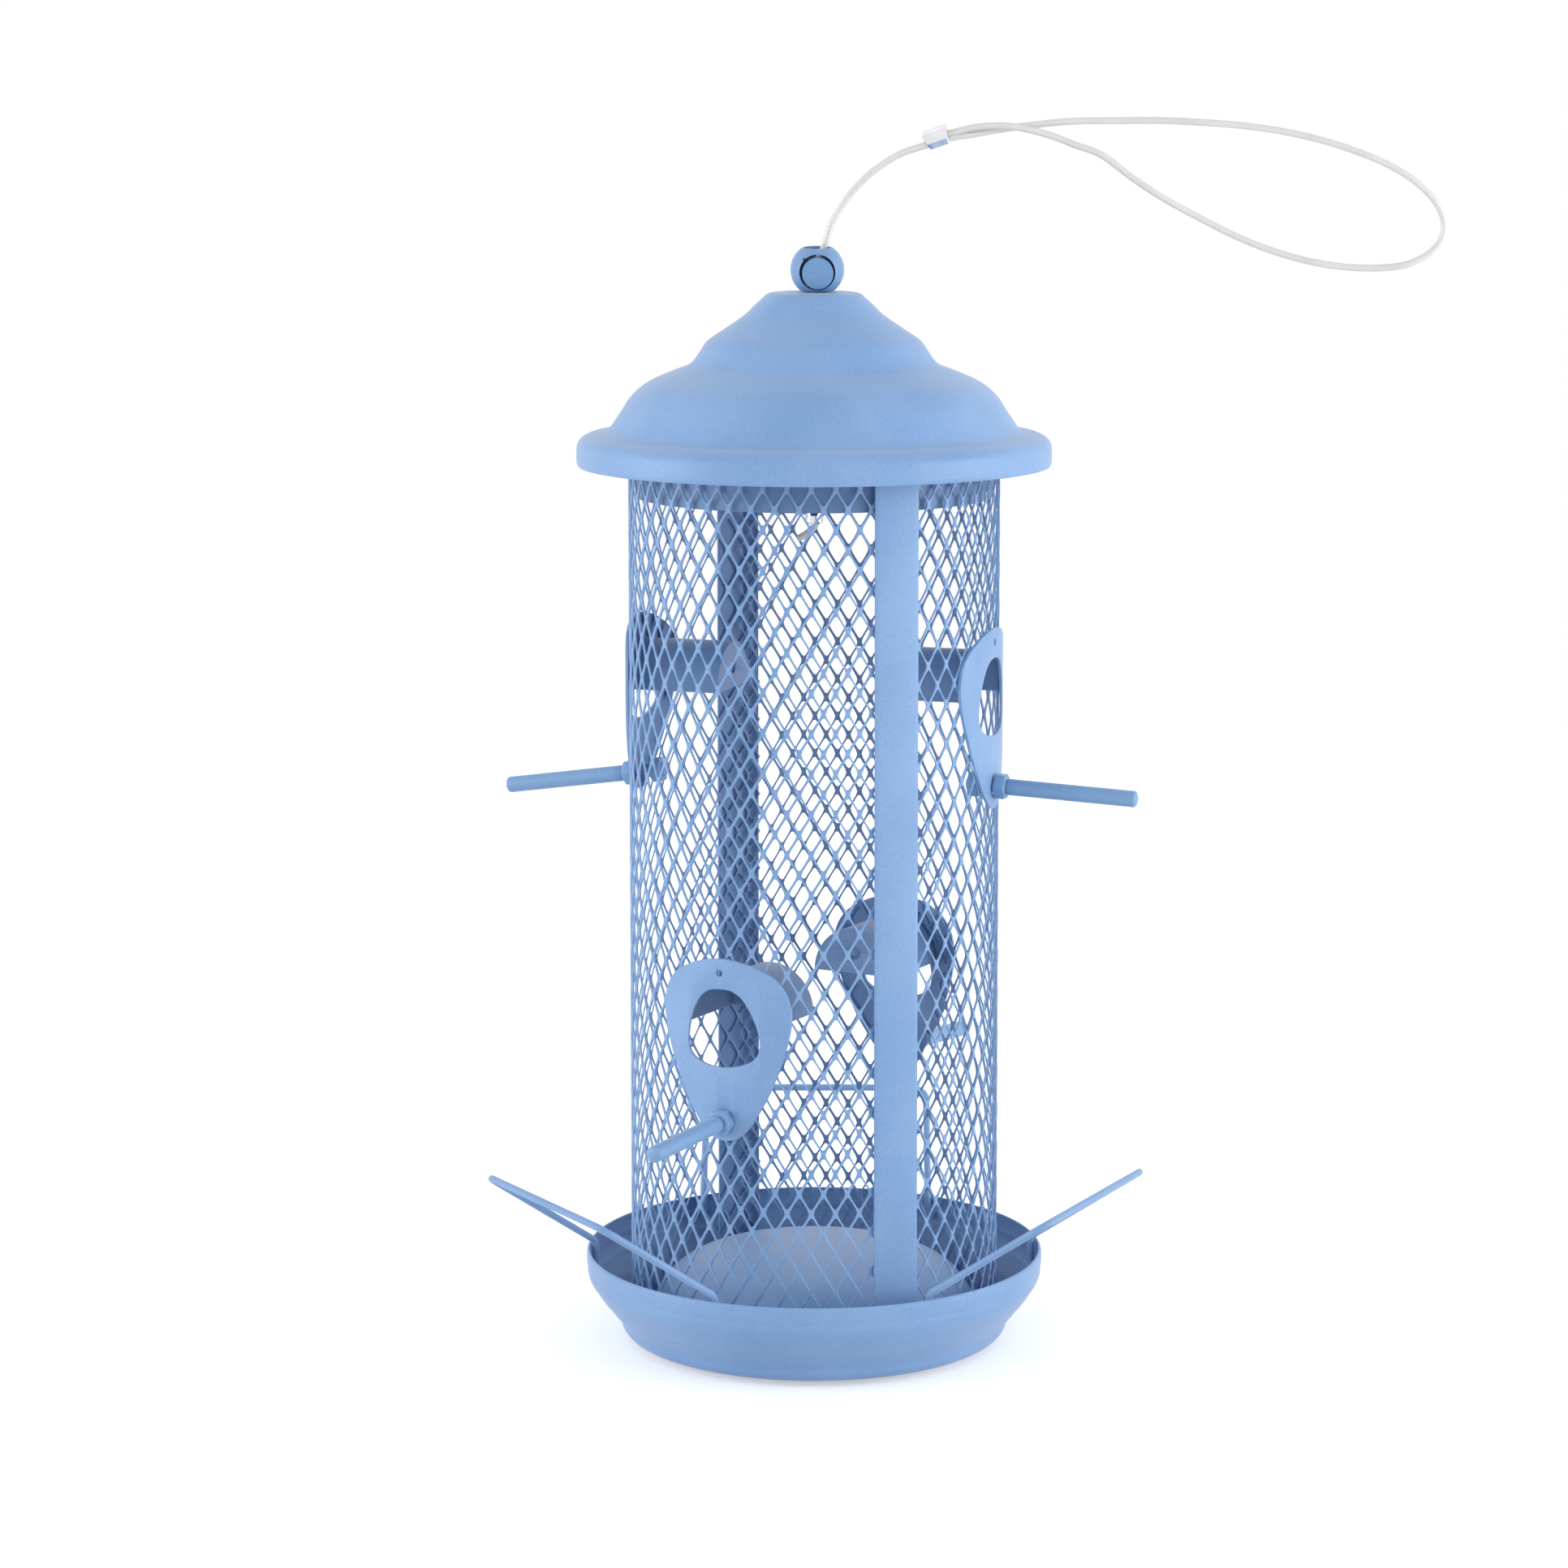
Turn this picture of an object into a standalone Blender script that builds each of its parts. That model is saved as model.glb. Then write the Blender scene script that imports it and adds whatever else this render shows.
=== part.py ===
"""Seed bird feeder: a mesh tube on a dished tray, four ports with perches, and a lid that slides up a cable.

Units are metres, +Z is up, the front faces -Y, and the origin is the middle of the tray's underside.
Angles round the tube are degrees from the front, positive towards +X.
"""
import math

import bmesh
import bpy
import numpy as np
from mathutils import Matrix, Vector

# Clearances
SEAT_GAP = 0.0003
CUT_OVERRUN = 0.004
MERGE = 0.00001

# Whole object
FEEDER_HEIGHT = 0.3124
TRAY_RADIUS = 0.0653
TRAY_HEIGHT = 0.0255
TRAY_SHEET = 0.0007
LID_RADIUS = 0.0670
LID_HEIGHT = 0.0488
LID_SHEET = 0.0007
BALL_HEIGHT = 0.0122
TURN_STEPS = 28

# Mesh tube
MESH_RADIUS = 0.0516
MESH_STRAND = 0.0016
MESH_CELLS = 16
MESH_CELL_HEIGHT = 0.0330
STRAP_WIDTH = 0.0131
STRAP_SHEET = 0.0008
STRAP_ANGLE = 25.2
RING_HEIGHT = 0.0276
RING_SHEET = 0.0007

# Domed floor inside the tube
DOME_RADIUS = 0.0480
DOME_RISE = 0.0240
DOME_SHEET = 0.0007

# Ports
PLATE_HEIGHT = 0.0519
PLATE_WIDTH = 0.0424
PLATE_SHEET = 0.0008
HOLE_HEIGHT = 0.0220
HOLE_WIDTH = 0.0226
HOLE_DROP = 0.0084
HANG_HOLE_RADIUS = 0.0010
HANG_HOLE_DROP = 0.0040
PORT_STEPS = 6
LOWER_PORT_TOP = 0.1190
PORT_RISE = 0.0880
HOOD_RADIUS = 0.0149
HOOD_SHEET = 0.0008
HOOD_INNER_RADIUS = 0.0260
LOWER_HOOD_LIFT = 0.0119
UPPER_HOOD_LIFT = 0.0089
HOOD_HOLE_RADIUS = 0.0020
HOOD_HOLE_HEIGHT = 0.0060
HOOD_STEPS = 7
CUTOUT_MARGIN = 0.0006

# Perch rods
ROD_RADIUS = 0.0023
STUD_RADIUS = 0.0019
ROD_TIP_RADIUS = 0.0950
ROD_INNER_RADIUS = 0.0455
ROD_DROP = 0.0455
ROD_ROUND = 0.0008
ROD_SIDES = 8
NUT_FLATS = 0.0074
NUT_OUTER_LENGTH = 0.0038
NUT_INNER_LENGTH = 0.0032

# Wire perches
WIRE_RADIUS = 0.0010
WIRE_WIDTH = 0.0673
WIRE_REACH = 0.0886
WIRE_TIP_HEIGHT = 0.0507
WIRE_RIM_RISE = 0.0012
WIRE_FOOT_DEPTH = 0.0065
WIRE_CORNER = 0.0050
WIRE_ELBOW = 0.0028

# Ball lock on the lid
BALL_RADIUS = 0.0073
BALL_MIDDLE_SHARE = 0.43
BALL_MOUTH_RADIUS = 0.0044
BALL_CABLE_HOLE = 0.0017
BORE_RADIUS = 0.0048
BORE_END = 0.0052
BUTTON_REACH = 0.0060
BUTTON_LENGTH = 0.0090
BUTTON_BEVEL = 0.0003
SLOT_WIDTH = 0.0058
SLOT_FRONT = 0.0029
SLOT_BACK = 0.0014
SPRING_RADIUS = 0.0030
SPRING_WIRE = 0.0002
SPRING_TURNS = 2
LID_HOLE_RADIUS = 0.0022

# Cable and its sleeves
CABLE_RADIUS = 0.0011
BRIDGE_WIDTH = 0.0120
BRIDGE_SHEET = 0.0010
BRIDGE_TAB = 0.0070
BRIDGE_LIFT = 0.0004
STOP_RADIUS = 0.0027
STOP_LENGTH = 0.0072
TAIL_DROP = 0.0044
TAIL_REACH = 0.0046
SLEEVE_LENGTH = 0.0068
SLEEVE_HEIGHT = 0.0062
SLEEVE_DEPTH = 0.0042
SLEEVE_PLAY = 0.0005
CABLE_JOIN = 0.0005
CABLE_POINTS = 60

# Outline of the lid, from the cable hole's edge to the brim's lip: shares of its radius and of its height
LID_SHARES = (
    (0.180, 1.000), (0.228, 0.943), (0.293, 0.870), (0.372, 0.793), (0.448, 0.721),
    (0.472, 0.679), (0.506, 0.609), (0.558, 0.568), (0.621, 0.531), (0.682, 0.494),
    (0.727, 0.453), (0.766, 0.405), (0.799, 0.342), (0.860, 0.213), (0.877, 0.190),
    (0.955, 0.184), (0.992, 0.160), (1.000, 0.120), (1.000, 0.020), (0.990, 0.000),
)
# Outline of the tray, from the rim down to the flat base
TRAY_SHARES = (
    (1.000, 1.000), (0.998, 0.820), (0.986, 0.705), (0.967, 0.612), (0.937, 0.494),
    (0.898, 0.369), (0.863, 0.260), (0.851, 0.215), (0.848, 0.155), (0.837, 0.088),
    (0.800, 0.036), (0.735, 0.000),
)
# Outline of the domed floor, from its middle to its rim
DOME_SHARES = (
    (0.300, 0.985), (0.540, 0.940), (0.708, 0.868), (0.833, 0.727), (0.917, 0.540),
    (0.975, 0.300), (1.000, 0.000),
)
# Half outline of a port's plate, top to tip: shares of half its width and of its height
PLATE_SHARES = (
    (0.30, 0.985), (0.63, 0.938), (0.84, 0.886), (0.96, 0.822), (1.00, 0.740),
    (0.985, 0.640), (0.93, 0.535), (0.83, 0.420), (0.67, 0.270), (0.45, 0.135),
    (0.25, 0.045),
)
# Half outline of the seed hole
HOLE_SHARES = (
    (0.33, 0.975), (0.60, 0.880), (0.80, 0.720), (0.94, 0.540), (1.00, 0.350),
    (0.94, 0.190), (0.78, 0.100), (0.40, 0.022),
)
# Outline of the ball lock: shares of its radius and of its height
BALL_SHARES = (
    (0.67, 1.00), (0.81, 0.89), (0.91, 0.78), (0.975, 0.62), (1.00, 0.45),
    (0.965, 0.31), (0.89, 0.19), (0.80, 0.09), (0.71, 0.00),
)

# Each port: its name, its angle, whether it is in the upper row, how far its hood lies above the hole's foot,
# and how many degrees its rod droops
PORTS = (
    ("lower_front", -28.7, 0, LOWER_HOOD_LIFT, 0.3),
    ("upper_right", 71.1, 1, UPPER_HOOD_LIFT, 2.3),
    ("lower_back", 151.3, 0, LOWER_HOOD_LIFT, 4.0),
    ("upper_left", -108.9, 1, UPPER_HOOD_LIFT, 8.5),
)
WIRES = (("left", -58.0), ("right", 62.6), ("back", 179.5))
# The staves of the mesh tube, in turn from the front strap
MESH_STAVES = ("front_right", "right", "back_right", "back", "back_left", "left", "front_left", "front")

# The cable's free route from the ball lock, round the loop and back into the sleeve: x, depth and height
# above the top of the ball
CABLE_ROUTE = (
    (0.0000, 0.0, -0.0118), (0.0001, 0.0, -0.0064), (0.0012, 0.0, -0.0030), (0.0034, 0.0, 0.0006),
    (0.0056, 0.0, 0.0061), (0.0078, 0.0, 0.0114), (0.0108, 0.0, 0.0160), (0.0145, 0.0, 0.0202),
    (0.0190, 0.0, 0.0238), (0.0240, 0.0, 0.0267), (0.0290, 0.0, 0.0284), (0.0336, 0.0, 0.0298),
    (0.0382, 0.0002, 0.0310), (0.0456, 0.0008, 0.0325), (0.0532, 0.0013, 0.0336), (0.0607, 0.0016, 0.0344),
    (0.0720, 0.0014, 0.0353), (0.0860, 0.0010, 0.0359), (0.0980, 0.0005, 0.0358), (0.1105, 0.0, 0.0352),
    (0.1210, 0.0, 0.0343), (0.1335, 0.0, 0.0324), (0.1460, 0.0, 0.0296), (0.1585, 0.0, 0.0253),
    (0.1672, 0.0, 0.0208), (0.1735, 0.0, 0.0162), (0.1768, 0.0, 0.0116), (0.1776, 0.0, 0.0067),
    (0.1762, 0.0, 0.0023), (0.1733, 0.0, -0.0012), (0.1694, 0.0, -0.0036), (0.1645, 0.0, -0.0052),
    (0.1570, 0.0, -0.0061), (0.1482, 0.0, -0.0055), (0.1382, 0.0, -0.0037), (0.1282, 0.0, -0.0008),
    (0.1182, 0.0, 0.0032), (0.1082, 0.0, 0.0082), (0.0982, -0.0005, 0.0136), (0.0895, -0.0009, 0.0192),
    (0.0807, -0.0013, 0.0251), (0.0732, -0.0016, 0.0294), (0.0669, -0.0017, 0.0322),
    (0.0607, -0.0017, 0.0341), (0.0544, -0.0015, 0.0349), (0.0482, -0.0011, 0.0350),
    (0.0432, -0.0005, 0.0345), (0.0385, 0.0, 0.0336), (0.0340, 0.0, 0.0323), (0.0326, 0.0, 0.0319),
)
# Which of those points lie in the sleeve
SLEEVE_AT = 11

# Places that follow from the sizes above
LID_TOP = FEEDER_HEIGHT - BALL_HEIGHT - SEAT_GAP
LID_FOOT = LID_TOP - LID_HEIGHT
MESH_OUTER = MESH_RADIUS + MESH_STRAND / 2
MESH_INNER = MESH_RADIUS * math.cos(math.pi / MESH_CELLS / 2) - MESH_STRAND / 2
SKIN_INNER = MESH_OUTER + SEAT_GAP
RING_OUTER = MESH_INNER - SEAT_GAP
BALL_MIDDLE = LID_TOP + SEAT_GAP + BALL_HEIGHT * BALL_MIDDLE_SHARE
BUTTON_RADIUS = BORE_RADIUS - SEAT_GAP

BLUE = (0.235, 0.395, 0.700)
STEEL = (0.72, 0.72, 0.68)
ALUMINIUM = (0.80, 0.80, 0.80)

for old in list(bpy.data.objects):
    bpy.data.objects.remove(old)

PARTS = bpy.data.collections.new("seed_bird_feeder")
CUTTERS = bpy.data.collections.new("seed_bird_feeder_cutters")
bpy.context.scene.collection.children.link(PARTS)
bpy.context.scene.collection.children.link(CUTTERS)


def finish(name, colour, roughness, metallic):
    """A plain Principled material for one sub-part."""
    made = bpy.data.materials.new(name)
    made.use_nodes = True
    shader = made.node_tree.nodes["Principled BSDF"]
    shader.inputs["Base Color"].default_value = (*colour, 1)
    shader.inputs["Roughness"].default_value = roughness
    shader.inputs["Metallic"].default_value = metallic
    return made


def painted(name):
    """The satin blue powder coat that covers the sheet metal and the wires."""
    return finish(name, BLUE, 0.5, 0.0)


def place(name, data, material, collection=None):
    """Links a new object that holds this mesh or curve."""
    thing = bpy.data.objects.new(name, data)
    (collection or PARTS).objects.link(thing)
    if material is not None:
        data.materials.clear()
        data.materials.append(material)
    return thing


def hidden(thing):
    """A cutter is drawn as wire and never rendered."""
    thing.hide_render = True
    thing.display_type = "WIRE"
    return thing


def turned_to(angle):
    """The matrix that swings a piece modelled at the front to its angle round the tube."""
    return Matrix.Rotation(math.radians(angle), 4, "Z")


def polar(angle, radius, height):
    """A point at an angle from the front, a distance from the tube's axis and a height."""
    turn = math.radians(angle)
    return Vector((radius * math.sin(turn), -radius * math.cos(turn), height))


def turned(name, outline, material, sheet=0.0, steps=TURN_STEPS, collection=None):
    """A shape of revolution from (radius, height) points that run top to bottom on the outer side."""
    bm = bmesh.new()
    made = [bm.verts.new((radius, 0, height)) for radius, height in outline]
    for first, second in zip(made, made[1:]):
        bm.edges.new((first, second))
    if outline[0][0] and not sheet:
        bm.edges.new((made[-1], made[0]))
    mesh = bpy.data.meshes.new(name)
    bm.to_mesh(mesh)
    bm.free()
    thing = place(name, mesh, material, collection)
    screw = thing.modifiers.new("turn", "SCREW")
    screw.steps = screw.render_steps = steps
    screw.use_merge_vertices = True
    screw.merge_threshold = MERGE
    if sheet:
        solid = thing.modifiers.new("sheet", "SOLIDIFY")
        solid.thickness = sheet
        solid.offset = -1
        solid.use_even_offset = True
    return thing


def as_mesh(thing, collection, weld=True):
    """Replaces a curve by its evaluated mesh with the caps welded on."""
    bpy.context.view_layer.update()
    graph = bpy.context.evaluated_depsgraph_get()
    mesh = bpy.data.meshes.new_from_object(thing.evaluated_get(graph))
    if weld:
        bm = bmesh.new()
        bm.from_mesh(mesh)
        bmesh.ops.remove_doubles(bm, verts=bm.verts[:], dist=MERGE)
        bm.to_mesh(mesh)
        bm.free()
    name, world = thing.name, thing.matrix_world.copy()
    bpy.data.objects.remove(thing)
    made = bpy.data.objects.new(name, mesh)
    made.matrix_world = world
    collection.objects.link(made)
    return made


def prism(name, outlines, depth, stand=True, collection=None):
    """A flat outline, with holes, given a depth. Standing, it faces along Y and is centred on y = 0."""
    curve = bpy.data.curves.new(name, "CURVE")
    curve.dimensions = "2D"
    curve.fill_mode = "BOTH"
    curve.extrude = depth / 2
    for outline in outlines:
        spline = curve.splines.new("POLY")
        spline.points.add(len(outline) - 1)
        for point, (across, up) in zip(spline.points, outline):
            point.co = (across, up, 0, 1)
        spline.use_cyclic_u = True
    thing = place(name, curve, None, collection or CUTTERS)
    made = as_mesh(thing, collection or CUTTERS)
    if stand:
        made.data.transform(Matrix.Rotation(math.radians(90), 4, "X"))
    return made


def tube(name, points, radius, material, sides=2):
    """A round wire along a list of points, with filled ends."""
    curve = bpy.data.curves.new(name, "CURVE")
    curve.dimensions = "3D"
    curve.bevel_depth = radius
    curve.bevel_resolution = sides
    curve.use_fill_caps = True
    spline = curve.splines.new("POLY")
    spline.points.add(len(points) - 1)
    for point, place_at in zip(spline.points, points):
        point.co = (*place_at, 1)
    return place(name, curve, material)


def cylinder(name, radius, length, middle, axis, sides, material=None, collection=None):
    """A capped cylinder about a middle point, along an axis."""
    bm = bmesh.new()
    bmesh.ops.create_cone(bm, cap_ends=True, segments=sides, radius1=radius, radius2=radius, depth=length)
    turn = Vector((0, 0, 1)).rotation_difference(Vector(axis)).to_matrix().to_4x4()
    bmesh.ops.transform(bm, matrix=Matrix.Translation(middle) @ turn, verts=bm.verts[:])
    mesh = bpy.data.meshes.new(name)
    bm.to_mesh(mesh)
    bm.free()
    return place(name, mesh, material, collection or CUTTERS)


def block(name, low, high, collection=None):
    """A box between two corners."""
    bm = bmesh.new()
    bmesh.ops.create_cube(bm, size=1)
    low, high = Vector(low), Vector(high)
    size = Matrix.Diagonal((*(high - low), 1))
    bmesh.ops.transform(bm, matrix=Matrix.Translation((low + high) / 2) @ size, verts=bm.verts[:])
    mesh = bpy.data.meshes.new(name)
    bm.to_mesh(mesh)
    bm.free()
    return place(name, mesh, None, collection or CUTTERS)


def cut(thing, cutter, kind="DIFFERENCE"):
    """Keeps a live Boolean on the piece."""
    hidden(cutter)
    modifier = thing.modifiers.new(cutter.name, "BOOLEAN")
    modifier.operation = kind
    modifier.solver = "EXACT"
    modifier.object = cutter
    return thing


def baked(thing):
    """The piece's evaluated mesh, so that copies of it can share it."""
    bpy.context.view_layer.update()
    graph = bpy.context.evaluated_depsgraph_get()
    return bpy.data.meshes.new_from_object(thing.evaluated_get(graph))


def soften(thing, degrees=35):
    """Round faces look round and real corners stay sharp."""
    mesh = thing.data
    mesh.shade_smooth()
    mesh.set_sharp_from_angle(angle=math.radians(degrees))


def arc_points(corner, before, after, radius, count):
    """Points round a bend at a corner between two others."""
    corner, before, after = Vector(corner), Vector(before), Vector(after)
    one, two = (before - corner).normalized(), (after - corner).normalized()
    half = one.angle(two) / 2
    start = corner + one * radius / math.tan(half)
    end = corner + two * radius / math.tan(half)
    centre = corner + (one + two).normalized() * radius / math.sin(half)
    first, last = (start - centre).normalized(), (end - centre).normalized()
    return [centre + first.slerp(last, k / (count - 1)) * radius for k in range(count)]


def smooth_route(route, count):
    """Evenly spaced points on a smooth curve through the route's own points."""
    fine = []
    ends = [route[0], *route, route[-1]]
    for k in range(1, len(ends) - 2):
        a, b, c, d = (Vector(p) for p in ends[k - 1:k + 3])
        for t in np.linspace(0, 1, 12, endpoint=False):
            fine.append(0.5 * ((2 * b) + (c - a) * t + (2 * a - 5 * b + 4 * c - d) * t**2
                               + (3 * b - a - 3 * c + d) * t**3))
    fine.append(Vector(route[-1]))
    along = np.concatenate([[0], np.cumsum([(q - p).length for p, q in zip(fine, fine[1:])])])
    wanted = np.linspace(0, along[-1], count)
    fine = np.array(fine)
    return [Vector([np.interp(w, along, fine[:, axis]) for axis in range(3)]) for w in wanted]


def tray_floor(radius):
    """How high the tray's inner side lies at a radius."""
    radii = [share * TRAY_RADIUS for share, _ in reversed(TRAY_SHARES)]
    heights = [share * TRAY_HEIGHT for _, share in reversed(TRAY_SHARES)]
    return float(np.interp(radius + TRAY_SHEET, radii, heights)) + TRAY_SHEET


def lid_inside(radius):
    """How high the lid's inner side lies at a radius."""
    radii = [share * LID_RADIUS for share, _ in LID_SHARES]
    heights = [LID_FOOT + share * LID_HEIGHT for _, share in LID_SHARES]
    return float(np.interp(radius + LID_SHEET, radii, heights)) - LID_SHEET


def make_tray():
    outline = [(r * TRAY_RADIUS, z * TRAY_HEIGHT) for r, z in TRAY_SHARES] + [(0, 0)]
    turned("tray", outline, painted("tray_paint"), TRAY_SHEET)


def make_dome():
    foot = TRAY_SHEET + SEAT_GAP
    outline = [(0, foot + DOME_RISE)]
    outline += [(r * DOME_RADIUS, foot + z * DOME_RISE) for r, z in DOME_SHARES]
    turned("seed_dome", outline, painted("dome_paint"), DOME_SHEET, steps=TURN_STEPS)


def make_lid():
    outline = [(LID_HOLE_RADIUS, LID_TOP)]
    outline += [(r * LID_RADIUS, LID_FOOT + z * LID_HEIGHT) for r, z in LID_SHARES]
    turned("lid", outline, painted("lid_paint"), LID_SHEET)


# The tube stands on the tray and reaches up under the lid
MESH_FOOT = tray_floor(MESH_OUTER) + MESH_STRAND / 2 + SEAT_GAP
RING_TOP = lid_inside(RING_OUTER) - 4 * SEAT_GAP
RING_FOOT = RING_TOP - RING_HEIGHT
MESH_TOP = lid_inside(MESH_OUTER) - MESH_STRAND - 4 * SEAT_GAP
MESH_ROWS = round((MESH_TOP - MESH_FOOT) / (MESH_CELL_HEIGHT / 2))
BRIDGE_FOOT = RING_FOOT + BRIDGE_LIFT
STOP_TOP = BRIDGE_FOOT - SEAT_GAP


def port_base(upper):
    """The height of the tip of a port's plate."""
    return LOWER_PORT_TOP - PLATE_HEIGHT + upper * PORT_RISE


def hole_base():
    """How far the seed hole's foot lies above the plate's tip."""
    return PLATE_HEIGHT - HOLE_DROP - HOLE_HEIGHT


def mirrored(half_shares, width, height, base, peak, tip):
    """A closed outline from the right half's shares, with a point at its top and at its foot."""
    right = [(x * width / 2, base + z * height) for x, z in half_shares]
    left = [(-x, z) for x, z in reversed(right)]
    ends = ([(0, base + height)] if peak else []), ([(0, base)] if tip else [])
    return ends[0] + right + ends[1] + left


def circle(radius, across, up, count):
    """A closed round outline."""
    turns = [2 * math.pi * k / count for k in range(count)]
    return [(across + radius * math.cos(t), up + radius * math.sin(t)) for t in turns]


def arch(radius, foot, count=HOOD_STEPS):
    """A half-round outline that stands on a flat foot."""
    turns = [math.pi * k / count for k in range(count + 1)]
    return [(radius * math.cos(t), foot + radius * math.sin(t)) for t in turns]


def mesh_stave(name, start, stop):
    """One stave of the expanded-metal tube: a net of diamonds on the tube's face, given strands."""
    cells = MESH_CELLS // len(MESH_STAVES)
    turn = (stop - start) / cells
    rise = (MESH_TOP - MESH_FOOT) / MESH_ROWS
    bm = bmesh.new()
    knots = {}

    def knot(column, row):
        column, row = max(0, min(2 * cells, column)), max(0, min(MESH_ROWS, row))
        if (column, row) not in knots:
            at = polar(start + turn * column / 2, MESH_RADIUS, MESH_FOOT + rise * row)
            knots[column, row] = bm.verts.new(at)
        return knots[column, row]

    for row in range(MESH_ROWS + 1):
        for column in range(2 * cells + 1):
            if (column + row) % 2:
                around = ((column - 1, row), (column, row - 1), (column + 1, row), (column, row + 1))
                corners = list(dict.fromkeys(knot(*where) for where in around))
                if len(corners) > 2:
                    bm.faces.new(corners)
    mesh = bpy.data.meshes.new(name)
    bm.to_mesh(mesh)
    bm.free()
    stave = place(name, mesh, painted(name + "_paint"))
    strands = stave.modifiers.new("strands", "WIREFRAME")
    strands.thickness = MESH_STRAND
    strands.use_replace = True
    strands.use_even_offset = True
    strands.use_boundary = True
    weld = stave.modifiers.new("weld", "WELD")
    weld.merge_threshold = MERGE
    return stave


def make_mesh_tube():
    """Staves side by side, with a seam under each strap, cut away behind each port and round its stud."""
    wide = 360 / len(MESH_STAVES)
    edge = math.degrees((MESH_STRAND + SEAT_GAP) / 2 / MESH_RADIUS)
    staves = []
    for count, name in enumerate(MESH_STAVES):
        start = STRAP_ANGLE + count * wide
        staves.append((start + wide / 2, mesh_stave("mesh_" + name, start + edge, start + wide - edge)))
    half = HOOD_RADIUS + CUTOUT_MARGIN
    slot = STUD_RADIUS + 2 * SEAT_GAP
    for name, angle, upper, hood_rise, droop in PORTS:
        foot = port_base(upper) + hole_base()
        slot_foot = port_base(upper) + PLATE_HEIGHT - ROD_DROP - slot
        outline = arch(half, foot + hood_rise)
        outline += [(-half, foot), (-slot, slot_foot), (slot, slot_foot), (half, foot)]
        window = prism("mesh_window_" + name, [outline], MESH_RADIUS - HOOD_INNER_RADIUS)
        window.data.transform(turned_to(angle) @ Matrix.Translation((0, -MESH_RADIUS, 0)))
        for middle, stave in staves:
            away = abs((angle - middle + 180) % 360 - 180)
            if away < wide / 2 + math.degrees(math.asin(half / MESH_RADIUS)):
                cut(stave, window)


def make_top_ring():
    outline = [(RING_OUTER, RING_TOP), (RING_OUTER, RING_FOOT)]
    turned("top_ring", outline, painted("ring_paint"), RING_SHEET)


def make_straps():
    """Two flat strips down the outside of the tube, over the seams of the mesh."""
    foot = tray_floor(SKIN_INNER + STRAP_SHEET) + SEAT_GAP
    for name, angle in (("strap_front", STRAP_ANGLE), ("strap_back", STRAP_ANGLE + 180)):
        half = math.degrees(STRAP_WIDTH / 2 / SKIN_INNER)
        bm = bmesh.new()
        columns = 4
        rows = [[bm.verts.new(polar(angle - half + 2 * half * k / columns, SKIN_INNER, height))
                 for k in range(columns + 1)] for height in (foot, MESH_TOP)]
        for k in range(columns):
            bm.faces.new((rows[0][k], rows[0][k + 1], rows[1][k + 1], rows[1][k]))
        mesh = bpy.data.meshes.new(name)
        bm.to_mesh(mesh)
        bm.free()
        strap = place(name, mesh, painted(name + "_paint"))
        solid = strap.modifiers.new("sheet", "SOLIDIFY")
        solid.thickness = STRAP_SHEET
        solid.offset = 1


def make_ports():
    """Four curved plates with a seed hole, each with a half-round hood that leads into the tube."""
    bm = bmesh.new()
    half = math.degrees(PLATE_WIDTH / 2 / SKIN_INNER) + 2
    low, high = -CUT_OVERRUN, PLATE_HEIGHT + CUT_OVERRUN
    rows = [[bm.verts.new(polar(half * (2 * k / PORT_STEPS - 1), SKIN_INNER, height))
             for k in range(PORT_STEPS + 1)] for height in (low, high)]
    for k in range(PORT_STEPS):
        bm.faces.new((rows[0][k], rows[0][k + 1], rows[1][k + 1], rows[1][k]))
    mesh = bpy.data.meshes.new("port_blank")
    bm.to_mesh(mesh)
    bm.free()
    blank = hidden(place("port_blank", mesh, painted("port_paint"), CUTTERS))
    solid = blank.modifiers.new("sheet", "SOLIDIFY")
    solid.thickness = PLATE_SHEET
    solid.offset = 1
    outline = mirrored(PLATE_SHARES, PLATE_WIDTH, PLATE_HEIGHT, 0, True, True)
    hole = mirrored(HOLE_SHARES, HOLE_WIDTH, HOLE_HEIGHT, hole_base(), True, True)
    hang = circle(HANG_HOLE_RADIUS, 0, PLATE_HEIGHT - HANG_HOLE_DROP, 6)
    stud = circle(STUD_RADIUS + SEAT_GAP, 0, PLATE_HEIGHT - ROD_DROP, ROD_SIDES)
    shape = prism("port_outline", [outline, hole, hang, stud], 6 * CUT_OVERRUN)
    shape.data.transform(Matrix.Translation((0, -SKIN_INNER, 0)))
    cut(blank, shape, "INTERSECT")
    plate_mesh = baked(blank)
    hood_mesh = hood_shape()
    for name, angle, upper, hood_rise, droop in PORTS:
        plate = place("port_plate_" + name, plate_mesh, None)
        plate.matrix_world = Matrix.Translation((0, 0, port_base(upper))) @ turned_to(angle)
        soften(plate)
        hood = place("seed_hood_" + name, hood_mesh, None)
        foot = port_base(upper) + hole_base() + hood_rise
        hood.matrix_world = Matrix.Translation((0, 0, foot)) @ turned_to(angle)
        soften(hood)


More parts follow.
